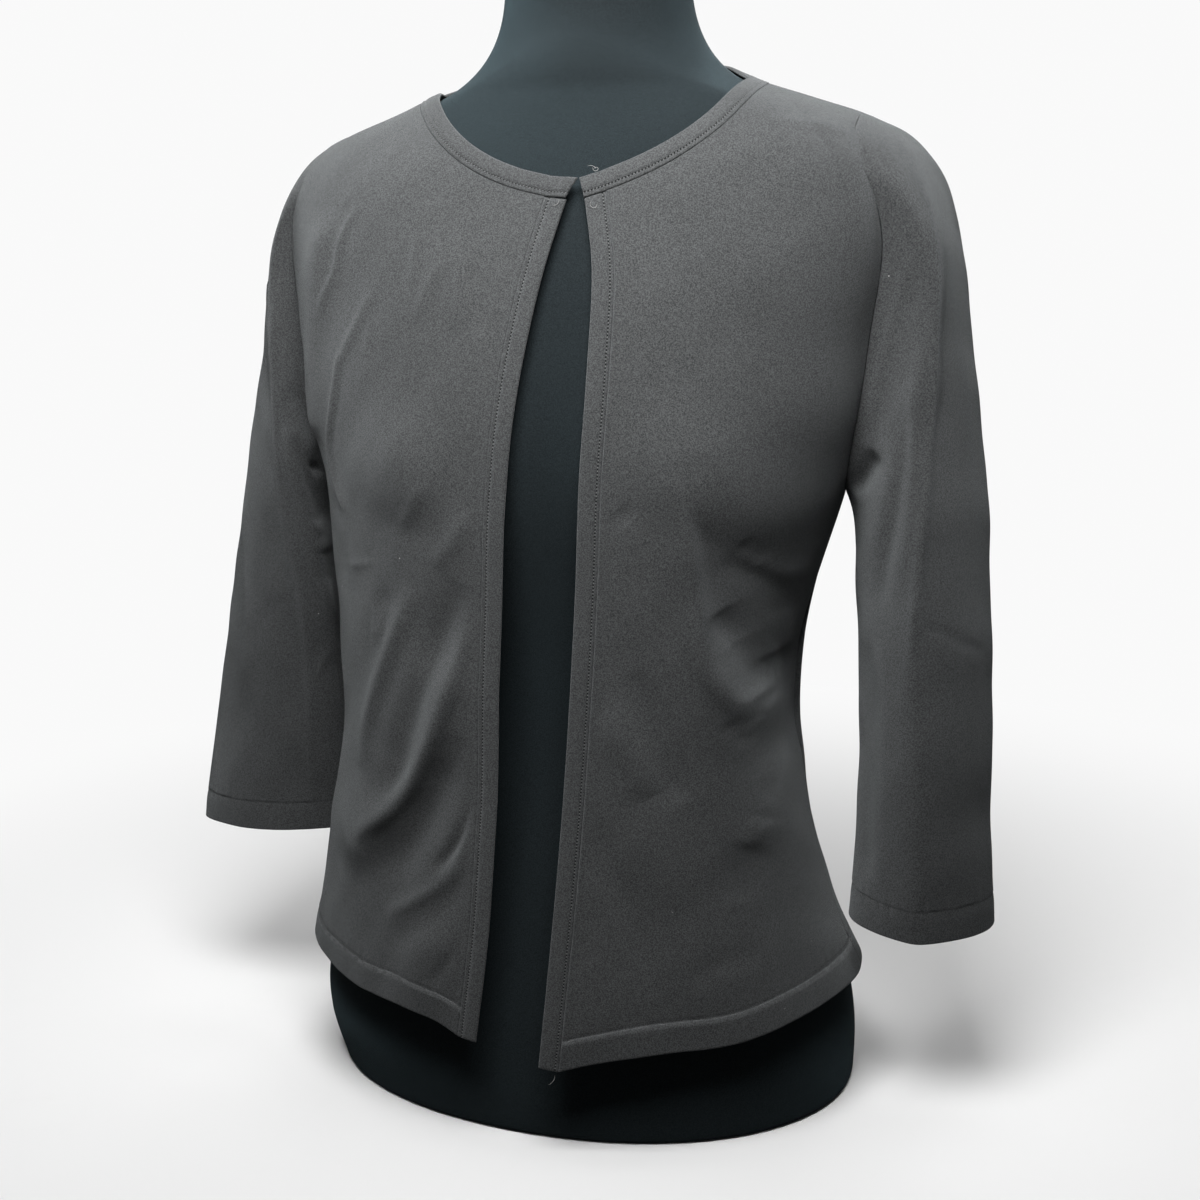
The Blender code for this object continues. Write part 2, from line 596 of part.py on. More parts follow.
def joined(*lines):
    """Lines of points end to end, without repeating the points where they meet."""
    return np.concatenate([lines[0]] + [line[1:] for line in lines[1:]])


def main():
    clear_scene()
    knit = material("charcoal_knit")
    band_knit = material("charcoal_band")
    jersey = material("black_jersey")

    sides = {"left": (1, SIDE_LEFT, EDGE_LEFT, HEM_LEFT, NECKLINE_FRONT_LEFT),
             "right": (-1, SIDE_RIGHT, EDGE_RIGHT, HEM_RIGHT, NECKLINE_FRONT_RIGHT)}
    armholes, side_seams, necklines, shoulders, edges = {}, {}, {}, {}, {}
    for name, (side, seam, edge, hem, neckline) in sides.items():
        turn = list if side > 0 else mirrored
        front = drape(smooth_curve(turn(ARMHOLE_FRONT), ROWS_ARMHOLE))
        back = drape(smooth_curve(turn(ARMHOLE_BACK), ROWS_ARMHOLE))
        armholes[name] = (front, back)
        side_seams[name] = drape(smooth_curve(seam, ROWS_BODY))
        necklines[name] = drape(smooth_curve(neckline, COLUMNS_NECK))
        shoulders[name] = drape(smooth_curve(turn((NECK_SHOULDER_POINT, SHOULDER_POINT)), COLUMNS_SHOULDER))
        edges[name] = drape(smooth_curve(edge, ROWS_BODY + ROWS_ARMHOLE))
        bottom = drape(smooth_curve(hem, COLUMNS_NECK + COLUMNS_SHOULDER))
        top = joined(necklines[name], shoulders[name])
        far_edge = joined(side_seams[name], front[::-1])
        grid = drape(evened(drape(coons(bottom, top, edges[name], far_edge))))
        add_panel(f"{name}_front", grid, knit, ("top", "start", "end"))

    back_neck = drape(smooth_curve(NECKLINE_BACK, COLUMNS_BACK_NECK))
    top = joined(shoulders["left"][::-1], back_neck, shoulders["right"])
    bottom = drape(smooth_curve(HEM_BACK, COLUMNS_BACK_NECK + 2 * COLUMNS_SHOULDER))
    start = joined(side_seams["left"], armholes["left"][1][::-1])
    end = joined(side_seams["right"], armholes["right"][1][::-1])
    grid = drape(evened(drape(coons(bottom, top, start, end))))
    add_panel("back_panel", grid, knit, ("top", "start", "end"))

    sleeves = {"left": (SLEEVE_LEFT, CUFF_LEFT, CAP_LEFT),
               "right": (SLEEVE_RIGHT, CUFF_RIGHT, CAP_RIGHT)}
    for name, (table, cuff, cap) in sleeves.items():
        front, back = armholes[name]
        loop = np.concatenate([front, back[::-1][1:-1]])
        add_sleeve(f"{name}_sleeve", loop, table, cuff, cap, sides[name][0], knit)

    for name in sides:
        toward_middle = np.array((-sides[name][0], 0, 0))
        add_band(f"{name}_front_band", edges[name], toward_middle, band_knit, BAND_TRIMS)
    ends = [drape(np.array(points)) for points in (NECK_END_LEFT, NECK_END_RIGHT)]
    seam = joined(ends[0][::-1], necklines["left"], back_neck, necklines["right"][::-1], ends[1])
    add_band("neck_band", seam, np.array((0, NECK_Y, NECK_AIM_HEIGHT)) - seam, band_knit, (0, 0, 0))
    add_form(jersey)


main()
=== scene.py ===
# %% [markdown]
# # A knit cardigan on a dress form
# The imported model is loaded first. It gives the place and size of every part of the object, so each
# finished piece below is worked out in the same frame, in metres, with the front towards -Y.

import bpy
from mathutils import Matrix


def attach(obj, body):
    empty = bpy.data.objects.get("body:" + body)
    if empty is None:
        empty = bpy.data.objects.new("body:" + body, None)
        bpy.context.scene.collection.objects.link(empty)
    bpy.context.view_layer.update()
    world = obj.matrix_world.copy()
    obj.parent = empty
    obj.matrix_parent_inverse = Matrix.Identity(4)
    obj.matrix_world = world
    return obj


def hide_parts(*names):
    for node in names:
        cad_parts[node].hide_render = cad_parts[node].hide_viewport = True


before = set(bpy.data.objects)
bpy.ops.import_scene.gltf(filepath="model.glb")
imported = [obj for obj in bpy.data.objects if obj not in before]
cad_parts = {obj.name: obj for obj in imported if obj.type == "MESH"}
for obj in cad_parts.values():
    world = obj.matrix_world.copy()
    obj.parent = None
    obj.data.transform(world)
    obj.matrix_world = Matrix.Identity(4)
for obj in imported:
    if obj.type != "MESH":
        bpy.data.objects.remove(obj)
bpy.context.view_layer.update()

import math

import bpy
import numpy as np
from mathutils import Matrix

print("packed model:", sorted(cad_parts))

# %% [markdown]
# ## The camera comes first
# The photograph was taken from a little to the wearer's left and from above, from about a metre away.
# Its field of view is given as a focal length in pixels of a frame 1200 pixels wide, which turns into
# millimetres of lens on a 36 mm sensor. A small roll levels nothing: it copies a hand-held tilt.

# %% Camera
CAMERA_TURN = math.radians(15.3)
CAMERA_TIP = math.radians(13.6)
CAMERA_ROLL = math.radians(-1.5)
CAMERA_REACH = 1.0
CAMERA_HEIGHT = 0.543
FOCAL_PIXELS = 1685.0
FRAME_PIXELS = 1200.0
SENSOR = 36.0


def placed(name, data, *columns):
    """An object made of the data, with its right, up and back directions and its place as columns."""
    made = bpy.data.objects.new(name, data)
    bpy.context.scene.collection.objects.link(made)
    matrix = np.eye(4)
    matrix[:3] = np.stack(columns, axis=1)
    made.matrix_world = Matrix(matrix.tolist())
    return made


def place_camera():
    """Three square axes: right is level, forward is tipped down, and both then roll about forward."""
    right = np.array((math.cos(CAMERA_TURN), math.sin(CAMERA_TURN), 0.0))
    level = np.array((-math.sin(CAMERA_TURN), math.cos(CAMERA_TURN), 0.0))
    forward = level * math.cos(CAMERA_TIP) - np.array((0, 0, math.sin(CAMERA_TIP)))
    up = np.cross(right, forward)
    rolled_right = right * math.cos(CAMERA_ROLL) + up * math.sin(CAMERA_ROLL)
    rolled_up = up * math.cos(CAMERA_ROLL) - right * math.sin(CAMERA_ROLL)
    data = bpy.data.cameras.new("camera")
    data.sensor_width = SENSOR
    data.lens = FOCAL_PIXELS * SENSOR / FRAME_PIXELS
    data.clip_start = 0.01
    place = -level * CAMERA_REACH + np.array((0, 0, CAMERA_HEIGHT))
    camera = placed("camera", data, rolled_right, rolled_up, -forward, place)
    bpy.context.scene.camera = camera
    return camera


CAMERA = place_camera()
print("lens in mm:", round(CAMERA.data.lens, 2))

# %% [markdown]
# ## The body under the cloth
# Cloth on a dress form is easiest to describe with a field: a function of a point in space that is
# negative inside the body and positive outside it. Two bodies are needed. One is the form itself, and
# the other is the looser shape that the cardigan takes over it.
# Each is a stack of rounded level sections, cut off by two sloping shoulders and joined to a neck.

# %% Measures of the body
def metres(rows, columns=None):
    """Millimetres in metres. With columns given, only so many of a table's columns are millimetres."""
    table = np.array(rows, float)
    if columns is None:
        return table / 1000
    table[:, :columns] /= 1000
    return table


FORM_HEIGHT = 0.685
BASE_ROUND = 0.004
NECK_RADIUS = 0.0515
NECK_TAPER = 0.090
NECK_Y = 0.032
NECK_FILLET = 0.041
TOP_ROUND = 0.010
RIDGE_HEIGHT = 0.6310
RIDGE_Y = 0.018
RIDGE_ROUND = 0.020
SHOULDER_SLOPE = 0.352
SHOULDER_TILT = 0.020
SHOULDER_CURVE = 3.2
SHOULDER_ROUND = 0.022
BUST_X = 0.082
BUST_HEIGHT = 0.388
BUST_DEPTH = 0.020
BUST_SPREAD = 0.052
SPINE_Y = 0.010
SPINE_TOP = 0.440

WALL = 0.0015
HEM_WALL = 0.0022
BAND_WALL = 0.0021
BAND_RISE = 0.0004
BAND_WIDTH = 0.0120
SEAM_GAP = 0.0001
CLEARANCE = 0.0006
CLOTH_ARCH = 0.25
GUARD_SHARE = 1.3
GUARD_ROUND = 0.004
HEM_DEPTH = 0.021
CUFF_DEPTH = 0.020

FORM_SECTIONS = metres((
    # height, left, right, front, back, widest_y, power
    (0, 156, 178, 112, 106, 0, 2.1),
    (30, 157, 187, 113, 107, 0, 2.1),
    (60, 154, 186, 112, 105, -2, 2.1),
    (90, 145, 176, 107, 99, -4, 2.1),
    (120, 134, 160, 101, 92, -7, 2.2),
    (150, 126, 140, 96, 85, -9, 2.3),
    (200, 117, 124, 88, 76, -11, 2.4),
    (235, 115, 118, 86, 74, -11, 2.5),
    (280, 119, 121, 89, 78, -10, 2.5),
    (330, 131, 133, 96, 87, -6, 2.5),
    (375, 143, 146, 102, 96, -2, 2.5),
    (420, 152, 153, 104, 102, 0, 2.5),
    (470, 161, 161, 98, 105, 3, 2.5),
    (520, 167, 167, 86, 104, 6, 2.5),
    (560, 167, 167, 70, 102, 10, 2.5),
    (600, 165, 165, 44, 97, 14, 2.5),
), 6)
CLOTH_SECTIONS = metres((
    # height, left, right, front, back, widest_y, power
    (40, 171, 197, 140, 124, -6, 2.0),
    (75, 163, 192, 137, 120, -10, 2.0),
    (100, 152, 185, 134, 114, -14, 2.1),
    (150, 136, 172, 128, 101, -22, 2.2),
    (200, 127, 158, 123, 91, -28, 2.4),
    (235, 124, 151, 121, 87, -30, 2.5),
    (280, 126, 150, 120, 91, -27, 2.5),
    (330, 135, 153, 119, 99, -18, 2.5),
    (375, 149, 158, 119, 106, -9, 2.5),
    (420, 162, 166, 116, 112, -2, 2.5),
    (470, 172, 173, 107, 115, 4, 2.5),
    (520, 183, 181, 94, 115, 8, 2.5),
    (560, 184, 182, 78, 113, 12, 2.5),
    (600, 180, 180, 52, 108, 15, 2.5),
), 6)
FRONT_FOLDS = (
    # rise, width, x and height of the line's points, in millimetres
    (5, 20, ((78, 390), (90, 320), (106, 254))),
    (-9, 26, ((112, 340), (122, 290), (124, 250))),
    (6, 18, ((-64, 274), (-81, 224), (-108, 196), (-127, 174))),
    (-5, 18, ((-66, 214), (-84, 184), (-106, 160))),
    (3.5, 16, ((-74, 120), (-86, 90), (-98, 60))),
    (4.5, 12, ((-140, 520), (-150, 470), (-155, 420))),
)


# %% The fields
def bell(distance, width):
    return np.exp(-((distance / width) ** 2))


def hermite(keys, values, at):
    """A cubic through the values, with slopes taken from the neighbours, and level past both ends."""
    keys, values = np.asarray(keys, float), np.asarray(values, float)
    slopes = np.gradient(values, keys, axis=0)
    at = np.clip(np.asarray(at, float), keys[0], keys[-1])
    i = np.clip(np.searchsorted(keys, at) - 1, 0, len(keys) - 2)
    span = keys[i + 1] - keys[i]
    t = (at - keys[i]) / span
    if values.ndim > 1:
        span, t = span[..., None], t[..., None]
    start = (2 * t**3 - 3 * t**2 + 1) * values[i] + (t**3 - 2 * t**2 + t) * span * slopes[i]
    end = (3 * t**2 - 2 * t**3) * values[i + 1] + (t**3 - t**2) * span * slopes[i + 1]
    return start + end


def columns_at(rows, height):
    """Every column of a table of sections at the heights given."""
    table = np.array(rows)
    found = hermite(table[:, 0], table[:, 1:], height)
    return [found[..., k] for k in range(found.shape[-1])]


def unit(v):
    return v / np.maximum(np.linalg.norm(v, axis=-1, keepdims=True), 1e-12)


def soft_min(a, b, k):
    """The smaller of two, rounded where they are less than k apart."""
    return np.minimum(a, b) - np.maximum(k - np.abs(a - b), 0) ** 2 / (4 * k)


def soft_max(a, b, k):
    return -soft_min(-a, -b, k)


def tube(p, sections):
    """How far each point lies outside a stack of rounded sections: (x/w)^n + (y/d)^n is 1 on each."""
    left, right, front, back, widest, power = columns_at(sections, p[..., 2])
    x, y = p[..., 0], p[..., 1] - widest
    half_x = np.where(x > 0, left, right)
    half_y = np.where(y < 0, front + widest, back - widest)
    share = (np.abs(x / half_x) ** power + np.abs(y / half_y) ** power) ** (1 / power)
    reach = np.hypot(x, y)
    return reach - reach / np.maximum(share, 1e-6)


def shoulder_roof(p):
    """Height over two sloping shoulders that round down to the front and the back."""
    level = RIDGE_HEIGHT - SHOULDER_SLOPE * np.hypot(p[..., 0], RIDGE_ROUND) + SHOULDER_TILT * p[..., 0]
    level = level - SHOULDER_CURVE * (p[..., 1] - RIDGE_Y) ** 2
    return (p[..., 2] - level) * math.cos(math.atan(SHOULDER_SLOPE))


def neck(p):
    radius = NECK_RADIUS + NECK_TAPER * (FORM_HEIGHT - p[..., 2])
    return np.hypot(p[..., 0], p[..., 1] - NECK_Y) - radius


def bust(p):
    away = ((np.abs(p[..., 0]) - BUST_X) ** 2 + (p[..., 2] - BUST_HEIGHT) ** 2) / BUST_SPREAD**2
    return np.where(p[..., 1] < 0, BUST_DEPTH * np.exp(-away), 0)


def form_field(p):
    """Below 0 inside the dress form."""
    torso = soft_max(tube(p, FORM_SECTIONS) - bust(p), shoulder_roof(p), SHOULDER_ROUND)
    whole = soft_min(torso, neck(p), NECK_FILLET)
    return soft_max(whole, p[..., 2] - FORM_HEIGHT, TOP_ROUND)


def nearest_on(p, line):
    """How far each point is from a line of short straight stretches, and where on the line its nearest
    point lies, as a share of the stretches from 0 to 1."""
    line = np.array(line, float)
    nearest = np.full(p.shape[:-1], 1.0)
    place = np.zeros(p.shape[:-1])
    for k, (a, b) in enumerate(zip(line, line[1:])):
        run = b - a
        t = np.clip((p - a) @ run / (run @ run), 0, 1)
        distance = np.linalg.norm(p - a - t[..., None] * run, axis=-1)
        place = np.where(distance < nearest, k + t, place)
        nearest = np.minimum(distance, nearest)
    return nearest, place / (len(line) - 1)


def folds(p):
    """Sum of the fronts' soft folds, each a bell curve of the distance from its line."""
    total = np.zeros(p.shape[:-1])
    for rise, width, line in FRONT_FOLDS:
        distance = nearest_on(p[..., [0, 2]], metres(line))[0]
        total += metres(rise) * bell(distance, metres(width))
    return np.where(p[..., 1] < 0, total, 0)


def cloth_field(p):
    """Below 0 inside the cloth's outer face."""
    rest = WALL + CLEARANCE
    lift = rest + CLOTH_ARCH * (p[..., 1] - RIDGE_Y) ** 2
    torso = soft_max(tube(p, CLOTH_SECTIONS) - folds(p), shoulder_roof(p) - lift, SHOULDER_ROUND)
    whole = soft_min(torso, neck(p) - rest, NECK_FILLET)
    return soft_min(whole, form_field(p) - GUARD_SHARE * rest, GUARD_ROUND)


RAY_NEAR, RAY_FAR, RAY_HALVINGS = 0.004, 0.5, 30
SLOPE_STEP = 0.0005


def cast(field, start, direction):
    """Where rays from inside leave the field, by halving the stretch that holds the crossing."""
    near = np.full(start.shape[:-1], RAY_NEAR)
    far = np.full(start.shape[:-1], RAY_FAR)
    for _ in range(RAY_HALVINGS):
        middle = (near + far) / 2
        inside = field(start + direction * middle[..., None]) < 0
        near, far = np.where(inside, middle, near), np.where(inside, far, middle)
    return start + direction * near[..., None]


def drape(seeds):
    """Move seeds onto the cloth's outer face, along lines from the spine."""
    spine = np.zeros(seeds.shape)
    spine[..., 1] = SPINE_Y
    spine[..., 2] = np.minimum(seeds[..., 2], SPINE_TOP)
    return cast(cloth_field, spine, unit(seeds - spine))


def field_normal(field, p):
    """The field's slope along each axis, as a unit vector."""
    step = SLOPE_STEP * np.eye(3)
    return unit(np.stack([field(p + move) - field(p - move) for move in step], axis=-1))


# %% [markdown]
# ## Seams
# A cardigan is cut flat and sewn, so its shape is drawn by its seams. Each seam is a short list of
# points that a smooth curve joins and the field pulls onto the body. Two pieces that are sewn together
# use the same curve.

# %% Seams
# Points in millimetres: first where seams meet, then each seam from end to end
SHOULDER_POINT = (150, 8, 577)
NECK_POINT_LEFT = (102, 12, 598)
NECK_POINT_RIGHT = (-102, 12, 598)
UNDERARM_POINT = (148, -4, 373)
THROAT_LEFT = (32.3, -85, 543.8)
THROAT_RIGHT = (-0.8, -86.3, 541.6)
FOOT_LEFT = (6, -136, 59)
FOOT_RIGHT = (-57, -134, 71)
HIP_LEFT = (160, -4, 77.5)
HIP_RIGHT = (-185, -4, 88)
NECKLINE_FRONT_LEFT = (THROAT_LEFT, (49.9, -81.2, 550.5), (70, -74.4, 560.6), (88.8, -61.4, 574.6),
    (99, -44, 587.2), (103, -19, 595.5), NECK_POINT_LEFT)
NECKLINE_FRONT_RIGHT = (THROAT_RIGHT, (-20.7, -84.1, 546.7), (-44.7, -78.5, 556.9),
    (-64.7, -68.8, 570.2), (-79.4, -52.7, 584.3), (-88.5, -33, 593), NECK_POINT_RIGHT)
NECKLINE_BACK = (NECK_POINT_LEFT, (87.4, 44.2, 605.4), (58.3, 79.9, 602.4), (0, 95.9, 596.4),
    (-58.3, 79.9, 602.4), (-87.4, 44.2, 605.4), NECK_POINT_RIGHT)
ARMHOLE_FRONT = (SHOULDER_POINT, (152, -22, 572), (156, -41, 562), (163, -43.5, 546), (172, -40, 522),
    (170, -37, 490), (164, -36, 445), (156, -31, 402), (151, -19, 381), UNDERARM_POINT)
ARMHOLE_BACK = (SHOULDER_POINT, (156, 36, 570), (162, 60, 552), (170, 62, 520), (167, 60, 470),
    (160, 52, 428), (153, 34, 396), (150, 14, 378), UNDERARM_POINT)
SIDE_LEFT = (HIP_LEFT, (132, -4, 150), (122, 2, 235), (134, 0, 310), UNDERARM_POINT)
SIDE_RIGHT = (HIP_RIGHT, (-170, -4, 150), (-148, 0, 235), (-150, 0, 310), (-148, -4, 373))
EDGE_LEFT = (FOOT_LEFT, (11, -130, 110), (23, -120, 240), (30, -117, 330), (34, -115, 400),
    (37, -107, 450), (38, -95, 510), THROAT_LEFT)
EDGE_RIGHT = (FOOT_RIGHT, (-51, -130, 110), (-43, -122, 200), (-37, -119, 300), (-31, -117, 380),
    (-24, -112, 440), (-11, -98, 505), THROAT_RIGHT)
NECK_END_LEFT = (THROAT_LEFT, (28.5, -85.5, 542.8), (24.6, -86.1, 541.6), (20.6, -86.6, 540.5))
NECK_END_RIGHT = (THROAT_RIGHT, (4.1, -86.5, 541.1), (9.1, -86.7, 540.5), (14.1, -86.9, 540))
HEM_LEFT = (FOOT_LEFT, (34.5, -134.9, 66.5), (60.8, -128.3, 70.4), (100, -111, 71.5), (134, -81.7, 77),
    (153, -45, 79.5), HIP_LEFT)
HEM_RIGHT = (FOOT_RIGHT, (-74.9, -128.2, 78.4), (-95, -123, 81.2), (-125, -106.2, 80.8),
    (-156.5, -82.7, 84.8), (-175, -52, 86.8), HIP_RIGHT)
HEM_BACK = (HIP_LEFT, (150, 50, 78), (105, 98, 77), (0, 118, 75), (-110, 98, 78), (-167, 50, 84),
    HIP_RIGHT)
# Points along each seam, and how many fine steps each of their stretches is then cut into
ROWS_BODY = 18
ROWS_ARMHOLE = 12
COLUMNS_NECK = 8
COLUMNS_SHOULDER = 5
COLUMNS_BACK_NECK = 14
FINE = 7


def mirrored(points):
    return [(-x, y, z) for x, y, z in points]


def travelled(grid, axis):
    """Distance along each line of a grid from its first point."""
    steps = np.linalg.norm(np.diff(grid, axis=axis), axis=-1)
    start = np.zeros_like(np.take(steps, [0], axis=axis))
    return np.concatenate([start, np.cumsum(steps, axis=axis)], axis=axis)


def smooth_curve(points, count):
    """count + 1 points spaced evenly along a smooth curve through the points given."""
    keys = travelled(points, 0)
    fine = hermite(keys, points, np.linspace(0, keys[-1], 50 * len(points)))
    length = travelled(fine, 0)
    even = np.linspace(0, length[-1], count + 1)
    return np.stack([np.interp(even, length, column) for column in fine.T], axis=1)


def refined(line, factor=FINE):
    """A smooth curve through a line of points, each stretch cut into so many steps."""
    steps = np.arange(len(line))
    flat = line.reshape(len(line), -1)
    fine = hermite(steps, flat, np.linspace(0, len(line) - 1, (len(line) - 1) * factor + 1))
    return fine.reshape(-1, *line.shape[1:])


def sewn(points, count):
    """A seam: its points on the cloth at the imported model's spacing, then a fine curve through them."""
    return drape(refined(drape(smooth_curve(metres(points), count))))


def joined(*lines):
    """Lines of points end to end, without repeating the points where they meet."""
    return np.concatenate([lines[0]] + [line[1:] for line in lines[1:]])


SIDES = {"left": (1, SIDE_LEFT, EDGE_LEFT, HEM_LEFT, NECKLINE_FRONT_LEFT),
         "right": (-1, SIDE_RIGHT, EDGE_RIGHT, HEM_RIGHT, NECKLINE_FRONT_RIGHT)}
SEAMS = {}
for side_name, (side, side_seam, edge, hem, neckline) in SIDES.items():
    turn = list if side > 0 else mirrored
    SEAMS[side_name] = {
        "armhole_front": sewn(turn(ARMHOLE_FRONT), ROWS_ARMHOLE),
        "armhole_back": sewn(turn(ARMHOLE_BACK), ROWS_ARMHOLE),
        "side": sewn(side_seam, ROWS_BODY),
        "neckline": sewn(neckline, COLUMNS_NECK),
        "shoulder": sewn(turn((NECK_POINT_LEFT, SHOULDER_POINT)), COLUMNS_SHOULDER),
        "edge": sewn(edge, ROWS_BODY + ROWS_ARMHOLE),
        "hem": sewn(hem, COLUMNS_NECK + COLUMNS_SHOULDER),
    }
BACK_NECK = sewn(NECKLINE_BACK, COLUMNS_BACK_NECK)
BACK_HEM = sewn(HEM_BACK, COLUMNS_BACK_NECK + 2 * COLUMNS_SHOULDER)
print("points on the left side seam:", len(SEAMS["left"]["side"]))

# %% [markdown]
# ## From four seams to a panel
# A Coons patch fills the space between four curves with a grid. The grid is pulled onto the field, its
# inner points are evened out, and then it is spaced again by real distance over the cloth, with close
# lines where a seam or a stitch line needs them. So a row of the grid is exactly the hem's
# stitch line, 21 mm above the edge.

# %% Grids
EDGE_STEPS = np.array((0.0, 0.0001, 0.0003, 0.0006, 0.0010, 0.0018, 0.0032))
STITCH_STEPS = np.array((-0.0035, -0.0018, -0.0009, -0.0004, 0.0, 0.0004, 0.0009, 0.0018, 0.0035))
HEM_STEPS = np.concatenate([EDGE_STEPS, (0.0065, 0.0105, 0.0145, 0.0185), HEM_DEPTH + STITCH_STEPS])
CUFF_STEPS = np.concatenate([EDGE_STEPS, (0.0070, 0.0110, 0.0140), CUFF_DEPTH + STITCH_STEPS])
EVENING_ROUNDS = 120


def coons(bottom, top, start, end):
    """Sum of two ruled patches less the patch ruled between the corners."""
    u = np.linspace(0, 1, len(bottom))[None, :, None]
    v = np.linspace(0, 1, len(start))[:, None, None]
    ruled_up = (1 - v) * bottom[None] + v * top[None]
    ruled_across = (1 - u) * start[:, None] + u * end[:, None]
    corners = (1 - v) * ((1 - u) * bottom[0] + u * bottom[-1]) + v * ((1 - u) * top[0] + u * top[-1])
    return ruled_up + ruled_across - corners


def evened(grid):
    """Each inner point drifts to the middle of its four neighbours."""
    grid = grid.copy()
    for _ in range(EVENING_ROUNDS):
        beside = grid[1:-1, :-2] + grid[1:-1, 2:]
        above = grid[:-2, 1:-1] + grid[2:, 1:-1]
        grid[1:-1, 1:-1] = (beside + above) / 4
    return grid


def along_columns(places, length, grid):
    """Points at the places wanted along each column of a grid, given the distances of its own points."""
    made = np.empty((len(places), *grid.shape[1:]))
    for column, axis in np.ndindex(grid.shape[1:]):
        made[:, column, axis] = np.interp(places[:, column], length[:, column], grid[:, column, axis])
    return made


def respaced(grid, near, far, step):
    """The lines of a grid, each with points at the near distances from its start, the far ones from its
    end, and about one step apart between them."""
    length = travelled(grid, 0)
    total = length[-1]
    count = max(int((total.mean() - near[-1] - far[-1]) / step), 2)
    share = np.linspace(0, 1, count + 1)[1:-1, None]
    middle = near[-1] + (total - near[-1] - far[-1]) * share
    places = np.concatenate([near[:, None] + 0 * total, middle, total - far[::-1, None]])
    return along_columns(places, length, grid)


def across(grid, near, far, step):
    """respaced, for the rows."""
    return respaced(grid.swapaxes(0, 1), near, far, step).swapaxes(0, 1)


FRONT_STEP = 0.0019
BACK_STEP = 0.0030


def panel_grid(bottom, top, start, end, step):
    """A panel's points on the cloth, rows from hem to top and columns from its start to its end."""
    grid = drape(evened(drape(coons(bottom, top, start, end))))
    grid = respaced(grid, HEM_STEPS, EDGE_STEPS, step)
    return drape(across(grid, EDGE_STEPS, EDGE_STEPS, step))


# %% [markdown]
# ## From a grid to cloth
# A wall of cloth has a middle surface and a thickness. At each edge the thickness closes in along a
# quarter circle, so an open edge is a soft fold and a seam is a fine valley between two rolls.

# %% Walls
RIM_SHARE = 0.02


def edge_profile(distance, radius):
    """A quarter circle's height at a distance from its rim: nearly 0 at the rim, 1 from the radius on."""
    share = np.clip(distance / radius, 0, 1)
    return np.sqrt(np.clip(1 - (1 - share) ** 2, RIM_SHARE**2, 1))


def closed(grid):
    """A grid with its first column repeated after its last."""
    return np.concatenate([grid, grid[:, :1]], axis=1)


def corners(grid):
    """What a grid holds at the four corners of each of its cells, in one list of cells."""
    cells = np.stack([grid[:-1, :-1], grid[:-1, 1:], grid[1:, 1:], grid[1:, :-1]], axis=2)
    return cells.reshape(-1, 4, *grid.shape[2:])


def quads(rows, columns, offset, around):
    """Four point numbers for each cell of a grid; around joins the last column to the first."""
    index = np.arange(rows * columns).reshape(rows, columns) + offset
    return corners(closed(index) if around else index)


def make_mesh(name, points, faces, uvs=None):
    """A smooth mesh from arrays: points in metres, four point numbers a face, and UVs a corner."""
    mesh = bpy.data.meshes.new(name)
    mesh.from_pydata(points.tolist(), [], faces.tolist())
    if uvs is not None:
        layer = mesh.uv_layers.new(name="cloth_uv")
        layer.data.foreach_set("uv", uvs.astype(np.float32).ravel())
    mesh.shade_smooth()
    piece = bpy.data.objects.new(name, mesh)
    bpy.context.scene.collection.objects.link(piece)
    return piece


def wall(name, outer, inner, around=False, uv_start=0.0):
    """A closed wall between two grids of one shape. Its UVs are distances over the cloth, in metres."""
    rows, columns = outer.shape[:2]
    count = rows * columns
    loop = closed(outer) if around else outer
    u, v = travelled(loop, 1) + uv_start, travelled(loop, 0)
    u = u - u[:, -1:] / 2 if around else u
    uv = np.stack([u, v], axis=-1)
    uv_faces = corners(uv)
    front = quads(rows, columns, 0, around)
    back = quads(rows, columns, count, around)
    a, b, d = (outer.reshape(-1, 3)[front[:, k]] for k in (0, 1, 3))
    out = (outer - inner).reshape(-1, 3)[front[:, 0]]
    flipped = np.sum(np.cross(b - a, d - a) * out) < 0
    index = np.arange(count).reshape(rows, columns)
    lines = [(index[0], 1), (index[-1], -1)]
    if around:
        lines = [(np.append(line, line[0]), way) for line, way in lines]
    else:
        lines += [(index[:, 0], -1), (index[:, -1], 1)]
    rims, rim_uvs = [], []
    for line, way in lines:
        rim = np.stack([line[1:], line[:-1], line[:-1] + count, line[1:] + count], axis=1)
        rims.append(rim if way > 0 else rim[:, ::-1])
    flat_uv = uv[:, :columns].reshape(-1, 2)
    flat_uv = np.concatenate([flat_uv, flat_uv])
    faces = np.concatenate([front, back[:, ::-1]] + rims)
    uvs = np.concatenate([uv_faces, uv_faces[:, ::-1]] + [flat_uv[rim] for rim in rims])
    if flipped:
        faces, uvs = faces[:, ::-1], uvs[:, ::-1]
    points = np.concatenate([outer.reshape(-1, 3), inner.reshape(-1, 3)])
    return make_mesh(name, points, faces, uvs)


# %% [markdown]
# ## Creases
# Worn cloth hangs in soft rolls, and this cardigan also keeps the sharp lines of its last folding. Each
# crease is drawn on the front view, as a line of x and height, and pushes the cloth out or in along it.

